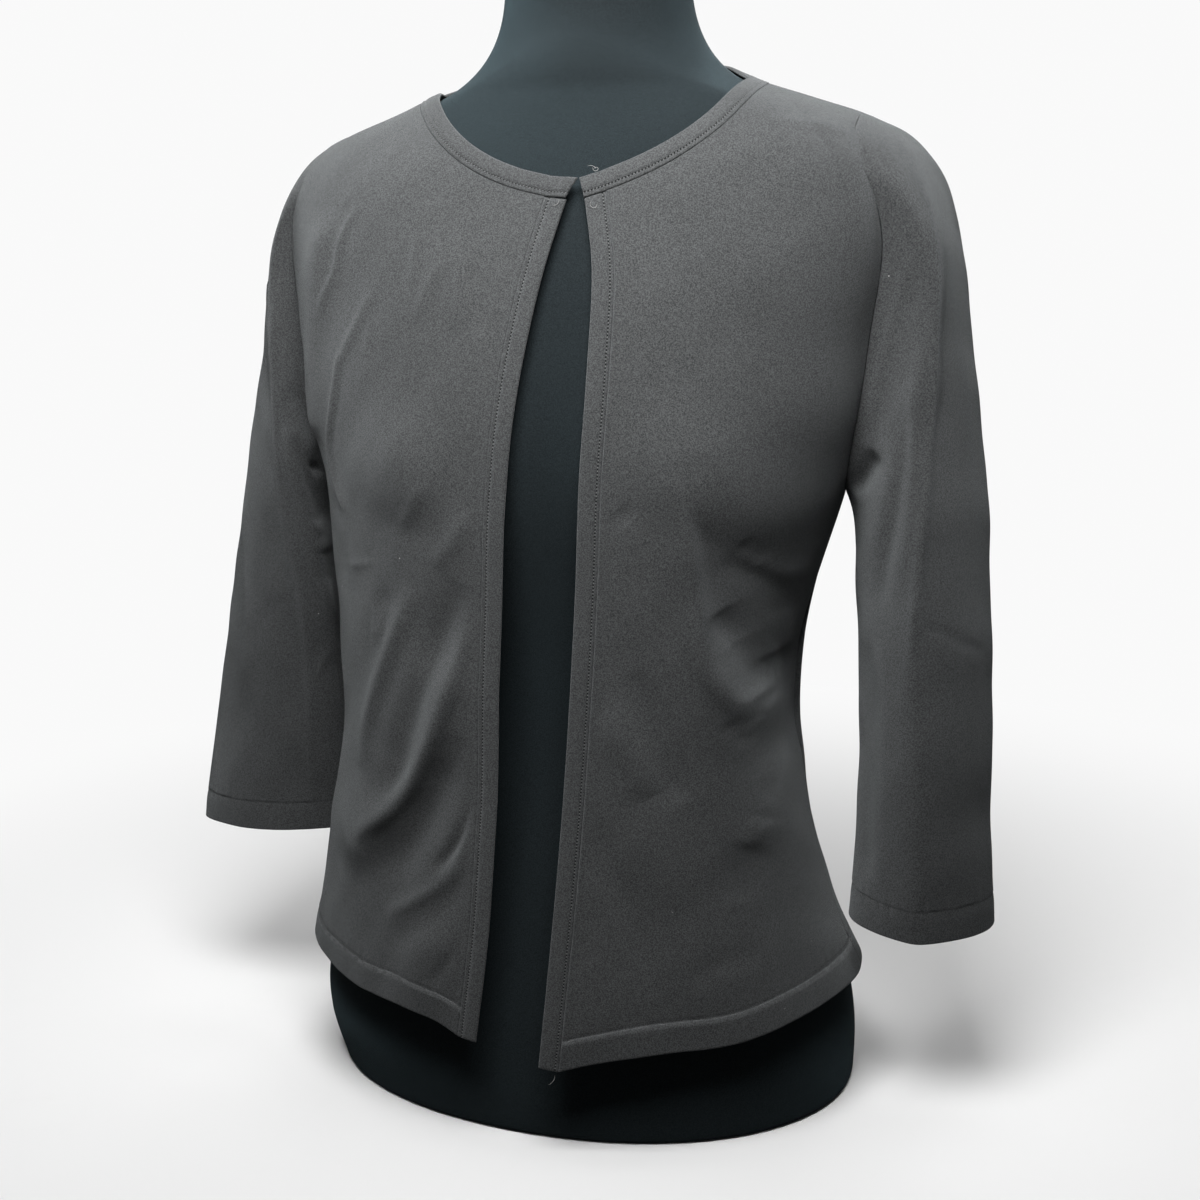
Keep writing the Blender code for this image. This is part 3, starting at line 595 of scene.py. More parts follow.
# %% Creases
CREASES = {
    # rise and width, then x and height of the line's points, all in millimetres
    "left_front": (
        (3, 6.2, ((77, 399), (80, 361), (84, 325), (85, 299), (108, 257))),
        (-3, 9, ((84, 409), (88, 374), (92, 334), (103, 303))),
        (-3.4, 8, ((95, 322), (103, 303), (109, 288), (111, 270))),
        (-1.6, 6, ((117, 289), (118, 270), (117, 260))),
        (-0.8, 4.6, ((96, 350), (108, 341), (117, 333), (122, 323), (124, 309))),
        (0.6, 6, ((103, 352), (113, 343), (121, 337), (135, 335))),
        (-0.6, 5, ((105, 360), (109, 355), (114, 347))),
        (0.6, 4.2, ((117, 315), (120, 296), (121, 277))),
        (-0.7, 5, ((97, 260), (102, 250), (107, 243))),
        (-0.7, 3.2, ((114, 221), (120, 199), (125, 177), (128, 162))),
        (0.7, 3.6, ((117, 212), (123, 185), (128, 161))),
        (-2.2, 8.5, ((50, 291), (59, 255), (65, 235), (73, 214))),
        (2, 11, ((30, 266), (46, 244), (57, 219))),
        (-0.9, 7.5, ((42, 379), (48, 372))),
        (-0.9, 11, ((117, 179), (107, 173), (104, 153))),
        (1.2, 8, ((114, 197), (105, 184))),
        (-1.6, 9.5, ((24, 206), (34, 179), (52, 138), (58, 103))),
        (-0.8, 7, ((79, 108), (90, 119), (117, 121))),
        (0.9, 3, ((110, 579), (131, 575), (154, 571))),
    ),
    "right_front": (
        (3.6, 5.2, ((-38, 319), (-50, 291), (-67, 248), (-92, 206), (-126, 177))),
        (-4.6, 8.5, ((-45, 337), (-60, 308), (-83, 252), (-97, 218), (-118, 201))),
        (3.2, 5.6, ((-77, 333), (-86, 313), (-106, 270), (-117, 242), (-121, 218))),
        (1.2, 8, ((-108, 305), (-99, 304))),
        (-1, 7.5, ((-104, 322), (-91, 322))),
        (0.7, 2, ((-124, 338), (-105, 343))),
        (-3.2, 3.2, ((-45, 210), (-55, 187), (-71, 166))),
        (2, 4.4, ((-44, 194), (-57, 169), (-82, 148), (-105, 133))),
        (-2.8, 8.5, ((-48, 250), (-66, 215), (-84, 182), (-102, 156))),
        (-1.6, 7.5, ((-46, 168), (-60, 149), (-80, 132), (-106, 117))),
        (-1.2, 3.4, ((-45, 136), (-59, 118), (-73, 99))),
        (2.6, 2.4, ((-123, 460), (-130, 429), (-137, 402), (-133, 383), (-126, 368))),
        (1.2, 3, ((-100, 494), (-111, 475), (-120, 460), (-126, 448))),
        (0.6, 2.2, ((-101, 479), (-105, 457))),
        (1.4, 2.4, ((-110, 541), (-123, 521), (-127, 504), (-136, 488), (-140, 477))),
        (0.9, 3, ((-72, 525), (-74, 509), (-75, 496))),
        (1, 3.4, ((-55, 511), (-65, 495), (-72, 477))),
        (0.9, 3.8, ((-24, 508), (-25, 479))),
        (-1.1, 4, ((-39, 509), (-35, 490), (-32, 470))),
        (0.9, 3.8, ((-45, 516), (-46, 494), (-46, 472))),
        (0.9, 4, ((-66, 392), (-74, 378), (-83, 365))),
        (1.4, 5.5, ((-37, 378), (-49, 361), (-63, 344))),
    ),
    "left_sleeve": (
        (2, 3, ((182, 567), (199, 521), (201, 456), (196, 342), (193, 288))),
        (1, 6, ((199, 394), (196, 342), (193, 288), (192, 244))),
        (-1.6, 3.2, ((181, 492), (173, 471), (165, 444), (160, 413), (155, 384))),
        (1.4, 3.6, ((189, 505), (180, 484), (173, 458), (167, 433), (164, 412))),
        (-3, 5.6, ((186, 428), (184, 389), (181, 367), (176, 339), (172, 311))),
        (-3, 5.8, ((166, 293), (167, 259), (167, 223), (166, 150))),
        (-0.8, 2, ((198, 308), (215, 299), (232, 286))),
        (-4.8, 5, ((169, 400), (164, 389), (157, 376))),
    ),
    "right_sleeve": (
        (1.6, 3, ((-162, 549), (-179, 498), (-189, 402), (-186, 293), (-199, 151))),
        (1, 2.8, ((-173, 557), (-178, 544), (-185, 529), (-193, 505))),
        (-2.4, 4.6, ((-182, 539), (-190, 518), (-194, 495))),
        (1, 2.4, ((-181, 544), (-187, 527), (-191, 501), (-192, 483))),
        (-1.2, 6, ((-174, 435), (-177, 420), (-179, 407))),
        (-2, 2.8, ((-176, 406), (-173, 384), (-171, 373), (-168, 350), (-169, 333))),
        (1.2, 2.4, ((-163, 414), (-170, 393))),
        (-3, 3.6, ((-170, 384), (-165, 385))),
        (2, 3, ((-171, 352), (-169, 340), (-170, 331))),
        (2, 3, ((-172, 314), (-169, 294), (-163, 268))),
        (-0.8, 7, ((-203, 302), (-218, 284), (-226, 263))),
        (0.8, 2.4, ((-174, 266), (-186, 245))),
        (-1.6, 8, ((-171, 265), (-171, 230), (-176, 173))),
    ),
}
CREASE_STEPS = 14


def creases(p, normal, table):
    """Sum of the creases, each a bell of the distance from its line that fades to nothing at both ends:
    1 - (2 s - 1)^4, with s the share of the line. Only cloth that faces the front takes them."""
    total = np.zeros(p.shape[:-1])
    for rise, width, line in table:
        curve = smooth_curve(metres(line), CREASE_STEPS)
        distance, share = nearest_on(p[..., [0, 2]], curve)
        total += metres(rise) * bell(distance, metres(width)) * (1 - (2 * share - 1) ** 4)
    return total * np.clip(-4 * normal[..., 1], 0, 1)


print("creases:", {name: len(table) for name, table in CREASES.items()})

# %% [markdown]
# ## Stitches
# A row of topstitching is a row of short bights of thread: each comes up out of the cloth, lies on it
# and goes down again. One stitch is a small six-sided tube, and a whole seam's stitches are one mesh.

# %% Stitches
STITCH_PITCH = 0.0019
STITCH_LENGTH = 0.0012
THREAD_RADIUS = 0.00020
STITCH_ARCH = 1.3
STITCH_SINK = 0.75
STITCH_SIDES = 6
STITCH_RINGS = 5


def tube_faces(rings):
    """Faces of a six-sided tube of so many rings, with both ends closed."""
    top = (rings - 1) * STITCH_SIDES
    ends = [[0, 1, 2, 3], [0, 3, 4, 5], [top + 3, top + 2, top + 1, top], [top + 5, top + 4, top + 3, top]]
    return np.concatenate([quads(rings, STITCH_SIDES, 0, True), ends])


def ring_points(spot, beside, over, radius):
    """Six points around each spot, in the plane of two unit directions."""
    angle = np.linspace(0, 2 * math.pi, STITCH_SIDES, endpoint=False)[:, None]
    ring = beside[..., None, :] * np.cos(angle) + over[..., None, :] * np.sin(angle)
    return spot[..., None, :] + ring * radius[:, None, None]


def thread_rows(name, paths):
    """Tubes along stretches of each path. The centre of a stitch stands above the cloth by the thread's
    radius times 1.3 sin(pi s) - 0.75, s being its share, so both its ends dip below the surface."""
    every_point, every_face = [], []
    share = np.linspace(0, 1, STITCH_RINGS)
    arch = np.sin(np.pi * share)
    for path, normal in paths:
        length = travelled(path, 0)
        middles = np.arange(STITCH_PITCH / 2, length[-1] - STITCH_PITCH / 2, STITCH_PITCH)
        at = middles[:, None] + (share[None] - 0.5) * STITCH_LENGTH
        spot = np.stack([np.interp(at, length, path[:, k]) for k in range(3)], axis=-1)
        up = unit(np.stack([np.interp(at, length, normal[:, k]) for k in range(3)], axis=-1))
        along = unit(np.gradient(spot, axis=1))
        beside = unit(np.cross(along, up))
        spot = spot + up * (THREAD_RADIUS * (STITCH_ARCH * arch - STITCH_SINK))[None, :, None]
        radius = THREAD_RADIUS * np.sqrt(np.clip(arch, 0.05, 1))
        offset = STITCH_RINGS * STITCH_SIDES * np.arange(len(middles))[:, None, None]
        every_face.append((tube_faces(STITCH_RINGS) + offset).reshape(-1, 4) + sum(map(len, every_point)))
        every_point.append(ring_points(spot, beside, up, radius).reshape(-1, 3))
    points, faces = np.concatenate(every_point), np.concatenate(every_face)
    a, b, d = (points[faces[0, k]] for k in (0, 1, 3))
    out = a - points[:STITCH_SIDES].mean(axis=0)
    if np.dot(np.cross(b - a, d - a), out) < 0:
        faces = faces[:, ::-1]
    return make_mesh(name, points, faces)


# %% [markdown]
# ## Body panels
# The two fronts and the back get the same treatment: a turned hem that is a little thicker, a stitch
# line that dents the cloth and puckers it, and a slight, slow waviness that keeps soft cloth from
# looking pressed flat.

# %% Panels
RIPPLES = (
    # height of the wave, then its turns per metre along x, y and z
    (0.00035, 11.0, 6.0, 7.0),
    (0.00030, -7.0, 9.0, 13.0),
    (0.00018, 19.0, -12.0, 17.0),
    (0.00012, -29.0, 21.0, 23.0),
)
RIPPLE_PHASE = 1.7


def ripple(p):
    """A sum of slow sine waves in space."""
    total = np.zeros(p.shape[:-1])
    for k, (rise, *turns) in enumerate(RIPPLES):
        total += rise * np.sin(2 * math.pi * (p @ np.array(turns)) + RIPPLE_PHASE * k)
    return total


# Waves along a stitch line: share, length and phase of each
PUCKER_WAVES = ((1.0, 0.0067, 0.0), (0.8, 0.0103, 1.0))
BITE_WAVES = ((0.25, 0.023, 0.0), (0.15, 0.0087, 2.0))
PUCKER_RISE = 0.00012
PUCKER_REACH = 0.006
MEAN_BITE = 0.60
TURN_RISE = 0.0001
TURN_BLEND = 0.0010
PUFF_AT = 0.0065
PUFF_WIDTH = 0.0050
DENT_DEPTH = 0.0004
DENT_EDGE = 0.0001
DENT_SHARP = 0.0005
DENT_GENTLE = 0.0032
SEWN_REACH = 0.008
THICK_BLEND = 0.0008
FORM_GAP = 0.0006
FORM_GAP_ROUND = 0.0012
SEAM_ROLLS = {"right_front": 0.0004}
SEAM_RIDGES = {"left_front": 0.0005, "right_front": 0.0002}
RIDGE_AT = 0.0013
RIDGE_WIDTH = 0.0007


def waves_along(run, waves):
    return sum(share * np.sin(2 * math.pi * run / length + phase) for share, length, phase in waves)


def pucker(run, distance, width):
    """Uneven small waves along a stitch line that die away beside it."""
    return PUCKER_RISE * waves_along(run, PUCKER_WAVES) * bell(distance, width)


def stitched_hem(grid, depth):
    """Lift of the turned hem: it puffs out below its stitch line, and the line itself is a dent, sharp
    above and gentle below, with puckers beside it."""
    above = travelled(grid, 0)
    beside = above - depth
    turned = TURN_RISE / (1 + np.exp(beside / TURN_BLEND))
    puffed = TURN_RISE * bell(beside + PUFF_AT, PUFF_WIDTH)
    run = travelled(grid, 1)
    bite = MEAN_BITE + waves_along(run, BITE_WAVES)
    dent = -DENT_DEPTH * bite * bell(beside, np.where(beside > DENT_EDGE, DENT_SHARP, DENT_GENTLE))
    return turned + puffed + dent + pucker(run, beside, PUCKER_REACH)


def clear_of_form(surface, normal):
    """The outer face moved out wherever its wall would sink into the form."""
    short = WALL + FORM_GAP - form_field(surface)
    return surface + normal * soft_max(short, 0, FORM_GAP_ROUND)[..., None]


def faces_about(surface, normal, thick, half):
    """Outer and inner faces: half on each side of the middle, which lies half a thickness below the
    surface."""
    middle = surface - normal * (thick / 2)[..., None]
    return middle + normal * half[..., None], middle - normal * half[..., None]


def hem_thickness(above, depth):
    """The cloth's thickness, which grows to the hem's below its stitch line."""
    return WALL + (HEM_WALL - WALL) / (1 + np.exp((above - depth) / THICK_BLEND))


def cloth_panel(name, grid):
    """A panel's wall and its hem line: the grid moved out by ripples, creases and hem, with its thickness
    then laid half on each side of the middle."""
    normal = field_normal(cloth_field, grid)
    from_start, from_bottom = travelled(grid, 1), travelled(grid, 0)
    from_end, from_top = from_start[:, -1:] - from_start, from_bottom[-1:] - from_bottom
    sewn_edge = np.minimum(np.minimum(from_start, from_end), from_top)
    free = 1 - bell(sewn_edge, SEWN_REACH)
    waves = (ripple(grid) + creases(grid, normal, CREASES.get(name, ()))) * free
    waves += SEAM_RIDGES.get(name, 0.0) * bell(from_start - RIDGE_AT, RIDGE_WIDTH)
    surface = clear_of_form(grid + normal * (waves + stitched_hem(grid, HEM_DEPTH))[..., None], normal)
    thick = hem_thickness(from_bottom, HEM_DEPTH)
    sewn_roll = edge_profile(sewn_edge, SEAM_ROLLS.get(name, WALL / 2))
    half = thick / 2 * np.minimum(sewn_roll, edge_profile(from_bottom, thick / 2))
    piece = wall(f"{name}_cloth", *faces_about(surface, normal, thick, half))
    row = list(HEM_STEPS).index(HEM_DEPTH)
    return piece, (surface[row], normal[row])


CLOTH = {}
HEM_LINES = []
for side_name, seam in SEAMS.items():
    grid = panel_grid(seam["hem"], joined(seam["neckline"], seam["shoulder"]), seam["edge"],
                      joined(seam["side"], seam["armhole_front"][::-1]), FRONT_STEP)
    CLOTH[f"{side_name}_front"], line = cloth_panel(f"{side_name}_front", grid)
    HEM_LINES.append(line)
top = joined(SEAMS["left"]["shoulder"][::-1], BACK_NECK, SEAMS["right"]["shoulder"])
grid = panel_grid(BACK_HEM, top, joined(SEAMS["left"]["side"], SEAMS["left"]["armhole_back"][::-1]),
                  joined(SEAMS["right"]["side"], SEAMS["right"]["armhole_back"][::-1]), BACK_STEP)
CLOTH["back_panel"], line = cloth_panel("back_panel", grid)
HEM_LINES.append(line)
HEM_STITCHES = thread_rows("hem_stitches", HEM_LINES)
print("panels:", {name: len(piece.data.polygons) for name, piece in CLOTH.items()})

# %% [markdown]
# ## Sleeves
# A sleeve joins a slanting armhole loop to an upright tube. Each point of the loop gets a rail: a cubic
# curve that leaves the seam outwards, meets the tube's section and follows it down to the cuff. A
# section is lens-shaped where the sleeve is pressed flat.

# %% Sleeve shapes
SLEEVE_LEFT = metres((
    # height, x, y, half_width, half_depth, softness, twist
    (100, 198.5, -28, 46, 40, 1.15, 0.0),
    (150, 198.5, -25, 43, 43, 1.15, 0.0),
    (200, 198.5, -22, 40.5, 45.5, 1.2, 0.0),
    (250, 198, -18, 39.8, 47.5, 1.25, 0.0),
    (300, 195.5, -12, 40.2, 49.5, 1.3, 0.0),
    (360, 193, -4, 39, 52, 1.45, 0.0),
    (420, 188.5, 2, 36, 53.5, 1.7, 0.0),
    (480, 184, 6, 33, 52.5, 1.9, 0.0),
), 5)
SLEEVE_RIGHT = metres((
    # height, x, y, half_width, half_depth, softness, twist
    (110, 236.4, 12, 20, 58, 1.15, 86.0),
    (150, 230.7, 12, 21, 58, 1.15, 84.0),
    (200, 224.5, 12, 24, 57, 1.18, 77.0),
    (260, 218.8, 12, 29, 56, 1.22, 65.0),
    (320, 209, 11, 34, 54, 1.3, 47.0),
    (370, 196.8, 9, 37, 52, 1.45, 26.0),
    (420, 184, 6, 36, 53.5, 1.7, 9.0),
    (480, 170, 6, 32, 52.5, 1.9, 0.0),
), 5)
CUFFS = {"left": (0.1225, 0.0), "right": (0.1365, -0.05)}
CAPS = {"left": (1.10, 16.0), "right": (0.72, 20.0)}
CAP_DROP_OUTER = 0.125
CAP_DROP_INNER = 0.040
CAP_SHARE = 0.35
CAP_LOW_SLOPE = 74.0
CAP_EVENING = 2
CAP_BLEND = 0.006
CAP_JOIN_STEP = 0.004
RINGS_SLEEVE = 20
SLEEVE_STEP = 0.0024


def sleeve_section(table, height, angle, side):
    """Point of the tube at a height and an angle: a rounded section with power 2 / softness, twisted."""
    x, y, half_width, half_depth, softness, twist = columns_at(table, height)
    wide = half_width * np.sign(np.cos(angle)) * np.abs(np.cos(angle)) ** (2 / softness)
    deep = -half_depth * np.sin(angle)
    turn = np.radians(-twist)
    dx = wide * np.cos(turn) - deep * np.sin(turn)
    dy = wide * np.sin(turn) + deep * np.cos(turn)
    return np.stack([side * (x + dx), y + dy, height], axis=-1)


def sleeve_rings(loop, table, cuff, cap, side):
    """Rings of points: a cubic from the armhole to the tube over the cap, then sections to the cuff."""
    count = len(loop)
    angle = np.linspace(0, 2 * math.pi, count, endpoint=False)
    body_normal = field_normal(cloth_field, loop)
    seam = unit(np.roll(loop, -1, axis=0) - np.roll(loop, 1, axis=0))
    level = (loop[:, 2].max() - loop[:, 2]) / np.ptp(loop[:, 2])
    away = unit(np.cross(seam, body_normal))
    away *= np.sign(np.sum(away * (loop.mean(axis=0) - loop), axis=1, keepdims=True))
    push, slope = cap
    droop = np.radians(slope + (CAP_LOW_SLOPE - slope) * level**1.5)
    leave = np.stack([side * np.cos(droop), np.zeros(count), -np.sin(droop)], axis=1)
    across_seam = unit(leave - seam * np.sum(leave * seam, axis=1, keepdims=True))
    turned = 1 - np.sum(across_seam * away, axis=1, keepdims=True)
    start = loop + SEAM_GAP * unit(across_seam + away + body_normal * turned)
    low_ring = sleeve_section(table, np.full(count, cuff[0]), angle, side)
    cuff_height = cuff[0] + cuff[1] * (side * low_ring[:, 0] - table[0][1])
    join_height = loop[:, 2] - CAP_DROP_OUTER - (CAP_DROP_INNER - CAP_DROP_OUTER) * level
    join = sleeve_section(table, join_height, angle, side)
    below = sleeve_section(table, join_height - CAP_JOIN_STEP, angle, side)
    reach = np.linalg.norm(join - start, axis=1)[:, None]
    rings = []
    share_of_rings = np.linspace(0, 1, RINGS_SLEEVE + 1)
    for share in share_of_rings:
        t = share / CAP_SHARE
        if t < 1:
            ring = ((2 * t**3 - 3 * t**2 + 1) * start + (t**3 - 2 * t**2 + t) * reach * push * leave
                    + (3 * t**2 - 2 * t**3) * join + (t**3 - t**2) * reach * unit(below - join))
        else:
            t = (share - CAP_SHARE) / (1 - CAP_SHARE)
            ring = sleeve_section(table, join_height + (cuff_height - join_height) * t, angle, side)
        rings.append(ring)
    rings = np.stack(rings)
    weight = np.clip(share_of_rings / CAP_SHARE, 0, 1)[:, None, None]
    for _ in range(CAP_EVENING):
        rings += 0.5 * weight * ((np.roll(rings, 1, axis=1) + np.roll(rings, -1, axis=1)) / 2 - rings)
    return rings


def fine_rings(rings):
    """The rings refined both ways; around a ring the curve runs on past its first point."""
    extra = 4
    looped = np.concatenate([rings[:, -extra:], rings, rings[:, :extra + 1]], axis=1)
    fine = refined(refined(looped).swapaxes(0, 1)).swapaxes(0, 1)
    return fine[:, extra * FINE:extra * FINE + rings.shape[1] * FINE]


def grid_normal(grid, side):
    around = np.roll(grid, -1, axis=1) - np.roll(grid, 1, axis=1)
    return unit(np.cross(around, np.gradient(grid, axis=0))) * side


SLEEVE_TABLES = {"left": SLEEVE_LEFT, "right": SLEEVE_RIGHT}
CUFF_LINES = {}


def cloth_sleeve(side_name):
    """One sleeve: rows from armhole to cuff, first point of each ring at the top or outer side."""
    side, seam = SIDES[side_name][0], SEAMS[side_name]
    front, back = seam["armhole_front"][::FINE], seam["armhole_back"][::FINE]
    loop = np.concatenate([front, back[::-1][1:-1]])
    rings = sleeve_rings(loop, SLEEVE_TABLES[side_name], CUFFS[side_name], CAPS[side_name], side)
    grid = respaced(fine_rings(rings), EDGE_STEPS, CUFF_STEPS, SLEEVE_STEP)
    normal = grid_normal(grid, side)
    body_normal = field_normal(cloth_field, grid[0])
    alike = np.clip(np.sum(normal[0] * body_normal, axis=1, keepdims=True), 0, 1)
    from_top = travelled(grid, 0)
    blend = bell(from_top, CAP_BLEND)[..., None]
    normal = unit(normal + blend * alike * body_normal)
    from_cuff = from_top[-1:] - from_top
    hem = stitched_hem(grid[::-1], CUFF_DEPTH)[::-1]
    free = 1 - bell(from_top, SEWN_REACH)
    waves = (ripple(grid) + creases(grid, normal, CREASES[f"{side_name}_sleeve"])) * free
    surface = grid + normal * (waves + hem)[..., None]
    thick = hem_thickness(from_cuff, CUFF_DEPTH)
    half = thick / 2 * edge_profile(np.minimum(from_top, from_cuff), thick / 2)
    row = len(grid) - 1 - list(CUFF_STEPS).index(CUFF_DEPTH)
    CUFF_LINES[side_name] = (surface[row], normal[row])
    faces = faces_about(surface, normal, thick, half)
    return wall(f"{side_name}_sleeve_cloth", *faces, around=True)


for side_name in SIDES:
    CLOTH[f"{side_name}_sleeve"] = cloth_sleeve(side_name)
CUFF_STITCHES = {name: thread_rows(f"{name}_cuff_stitches", [line]) for name, line in CUFF_LINES.items()}
print("sleeves:", len(CLOTH["left_sleeve"].data.polygons), len(CLOTH["right_sleeve"].data.polygons))

# %% [markdown]
# ## Bands
# The neck and both front edges are bound with a narrow folded strip, topstitched close to its seam. A
# strip is a profile carried along a path: lines at set distances from the seam, each pulled onto the
# cloth and lifted by the strip's own thickness.

# %% Bands
BAND_EDGE = np.array((0.0, 0.00012, 0.0004, 0.0009))
STITCH_AT = {"left_front": 0.0020, "right_front": 0.0028, "neck": 0.0028}
# How much shorter each strip's second end is than its seam, at the seam and at its free edge
BAND_TRIMS = {"left_front": (0.0003, 0.0016), "right_front": (0.0003, -0.0014),
              "neck": (0.0036, -0.0012)}
BAND_OVERRUN = 0.003
BAND_TAB_RISE = 0.0008
BAND_TAB_LENGTH = 0.0070
BAND_TAB_BLEND = 0.0004
BAND_DENT = 0.0006
BAND_STEP = 0.0022
BAND_CROWN = 0.00040
BAND_PUCKER_REACH = 0.004
BAND_STITCH_STEPS = np.array((-0.0003, 0.0, 0.0003, 0.0009))
LEAN_FROM, LEAN_TO, LEAN_GAP = -0.010, 0.030, 0.0001


def along_surface(line, toward, width):
    """The line moved over the cloth by a width, square to itself, towards the direction given."""
    normal = field_normal(cloth_field, line)
    side = unit(np.cross(normal, np.gradient(line, axis=0)))
    side *= np.sign(np.sum(side * toward, axis=-1, keepdims=True))
    return drape(line + side * width)


def lean(p, share):
    """How far the neck's strip falls in to rest on the form behind the shoulders: the gap behind it,
    times the share of its width to the power 1.5."""
    gap = form_field(p) - BAND_WALL + BAND_RISE - LEAN_GAP
    behind = np.clip((p[..., 1] - LEAN_FROM) / (LEAN_TO - LEAN_FROM), 0, 1)
    return np.clip(gap, 0, None) * behind * share**1.5


def cloth_band(name, seam, toward):
    """A folded strip: crowned across, dented along its stitches, and round at its fold and its ends. Its
    second end is cut aslant, and the neck's is raised there, where the strip is folded back."""
    stitch = STITCH_AT[name]
    near = np.concatenate([BAND_EDGE, stitch + BAND_STITCH_STEPS])
    inner_shifts = np.linspace(near.max(), BAND_WIDTH - BAND_EDGE[-1], 6)[1:-1]
    shifts = np.unique(np.concatenate([near, inner_shifts, BAND_WIDTH - BAND_EDGE]).round(7))
    lines = [along_surface(seam, toward, shift) for shift in shifts]
    grid = np.stack(lines, axis=1)
    grid = np.concatenate([grid, grid[-1:] + BAND_OVERRUN * unit(grid[-1:] - grid[-2:-1])])
    trims = BAND_OVERRUN + np.interp(shifts, (0, BAND_WIDTH), BAND_TRIMS[name])
    length = travelled(grid, 0)
    grid = along_columns(np.minimum(length, length[-1] - trims), length, grid)
    grid = drape(respaced(grid, BAND_EDGE, BAND_EDGE, BAND_STEP))
    normal = field_normal(cloth_field, grid)
    from_seam = np.broadcast_to(shifts, grid.shape[:2])
    run = travelled(grid, 0)
    beside = from_seam - stitch
    crown = BAND_CROWN * np.sin(math.pi * from_seam / BAND_WIDTH)
    dent = -BAND_DENT * bell(beside, BAND_DENT) + pucker(run, beside, BAND_PUCKER_REACH)
    height = BAND_RISE + crown + dent
    if name == "neck":
        height += BAND_TAB_RISE / (1 + np.exp((run[-1:] - run - BAND_TAB_LENGTH) / BAND_TAB_BLEND))
        height -= lean(grid, from_seam / BAND_WIDTH)
    surface = grid + normal * height[..., None]
    from_end = np.minimum(run, run[-1:] - run)
    open_edge = edge_profile(np.minimum(BAND_WIDTH - from_seam, from_end), BAND_WALL / 2)
    sewn_edge = edge_profile(from_seam, SEAM_ROLLS.get(name, BAND_WALL / 2))
    half = BAND_WALL / 2 * np.minimum(open_edge, sewn_edge)
    outer, inner = faces_about(surface, normal, BAND_WALL + 0 * half, half)
    column = int(np.argmin(np.abs(shifts - stitch)))
    piece = wall(f"{name}_band_cloth", outer, inner, uv_start=-travelled(outer, 1)[:, column:column + 1])
    return piece, (outer[:, column], normal[:, column])


BANDS = {}
BAND_STITCHES = {}
for side_name, (side, *_) in SIDES.items():
    band = f"{side_name}_front"
    BANDS[band], line = cloth_band(band, SEAMS[side_name]["edge"], np.array((-side, 0, 0)))
    BAND_STITCHES[band] = thread_rows(f"{band}_band_stitches", [line])
ends = [drape(refined(drape(metres(points)))) for points in (NECK_END_LEFT, NECK_END_RIGHT)]
neck_seam = joined(ends[0][::-1], SEAMS["left"]["neckline"], BACK_NECK,
                   SEAMS["right"]["neckline"][::-1], ends[1])
BANDS["neck"], line = cloth_band("neck", neck_seam, np.array((0, NECK_Y, 0.65)) - neck_seam)
BAND_STITCHES["neck"] = thread_rows("neck_band_stitches", [line])
print("bands:", {name: len(piece.data.polygons) for name, piece in BANDS.items()})

# %% [markdown]
# ## Loose threads
# The sewing was left a little untidy: a few curled ends of thread stick out where the bands meet at the
# neck, one hangs from a band's foot, and short bits of lint lie on the cloth.

# %% Loose threads
LOOSE_THREADS = (
    # foot and length in millimetres, curl, turn on the cloth in degrees
    ((25, -80.9, 553.7), 8.5, 6.5, 80.0),
    ((26.2, -80.6, 554.3), 5, -2.0, 75.0),
    ((28, -87.7, 537), 7.5, 4.5, 250.0),
    ((3.5, -88, 537.1), 6, -2.2, 215.0),
    ((4.2, -138.6, 58), 6, 1.2, 262.0),
    ((69.1, -116.1, 153), 1.2, 0.6, 20.0),
    ((137.6, -59.5, 115.6), 1.1, 0.4, 70.0),
    ((126.3, -87.9, 86), 1.2, 0.8, 130.0),
)
LOOSE_RADIUS = 0.00013
LOOSE_RINGS = 16
LOOSE_LIFT = 0.0010
LOOSE_RISE = 0.3


def loose_thread(foot, length, curl, turn):
    """Ring centres of one thread: over the cloth its direction turns steadily by curl radians, and it
    lifts off by a share of its length times s^2, s being the share of the thread."""
    foot, length = drape(metres(foot)), metres(length)
    normal = field_normal(cloth_field, foot)
    level = -unit(np.cross((0, 0, 1), normal))
    upward = np.cross(level, normal)
    upward *= np.sign(upward[2])
    share = np.linspace(0, 1, LOOSE_RINGS)
    heading = math.radians(turn) + curl * share
    step = length / (LOOSE_RINGS - 1)
    across, up = np.cumsum(np.cos(heading)) * step, np.cumsum(np.sin(heading)) * step
    off = LOOSE_LIFT + LOOSE_RISE * length * share**2
    return foot + across[:, None] * level + up[:, None] * upward + off[:, None] * normal


def thread_tubes(name, paths, radius):
    """A six-sided tube around each path, tapered at both ends."""
    every_point, every_face = [], []
    for path in paths:
        along = unit(np.gradient(path, axis=0))
        beside = unit(np.cross(along, (0.3, -0.9, 0.2)))
        taper = radius * np.sqrt(np.clip(np.sin(np.pi * np.linspace(0, 1, len(path))), 0.1, 1))
        every_face.append(tube_faces(len(path))[:, ::-1] + sum(map(len, every_point)))
        every_point.append(ring_points(path, beside, np.cross(along, beside), taper).reshape(-1, 3))
    return make_mesh(name, np.concatenate(every_point), np.concatenate(every_face))


LOOSE = thread_tubes("loose_threads", [loose_thread(*row) for row in LOOSE_THREADS], LOOSE_RADIUS)
print("loose threads:", len(LOOSE_THREADS))

# %% [markdown]
# ## The dress form
# The form is one closed skin. Rings of rays leave its axis, level at the hips and tipped up over the
# shoulders, and stop where they meet the field. A flat foot and a flat top close it.

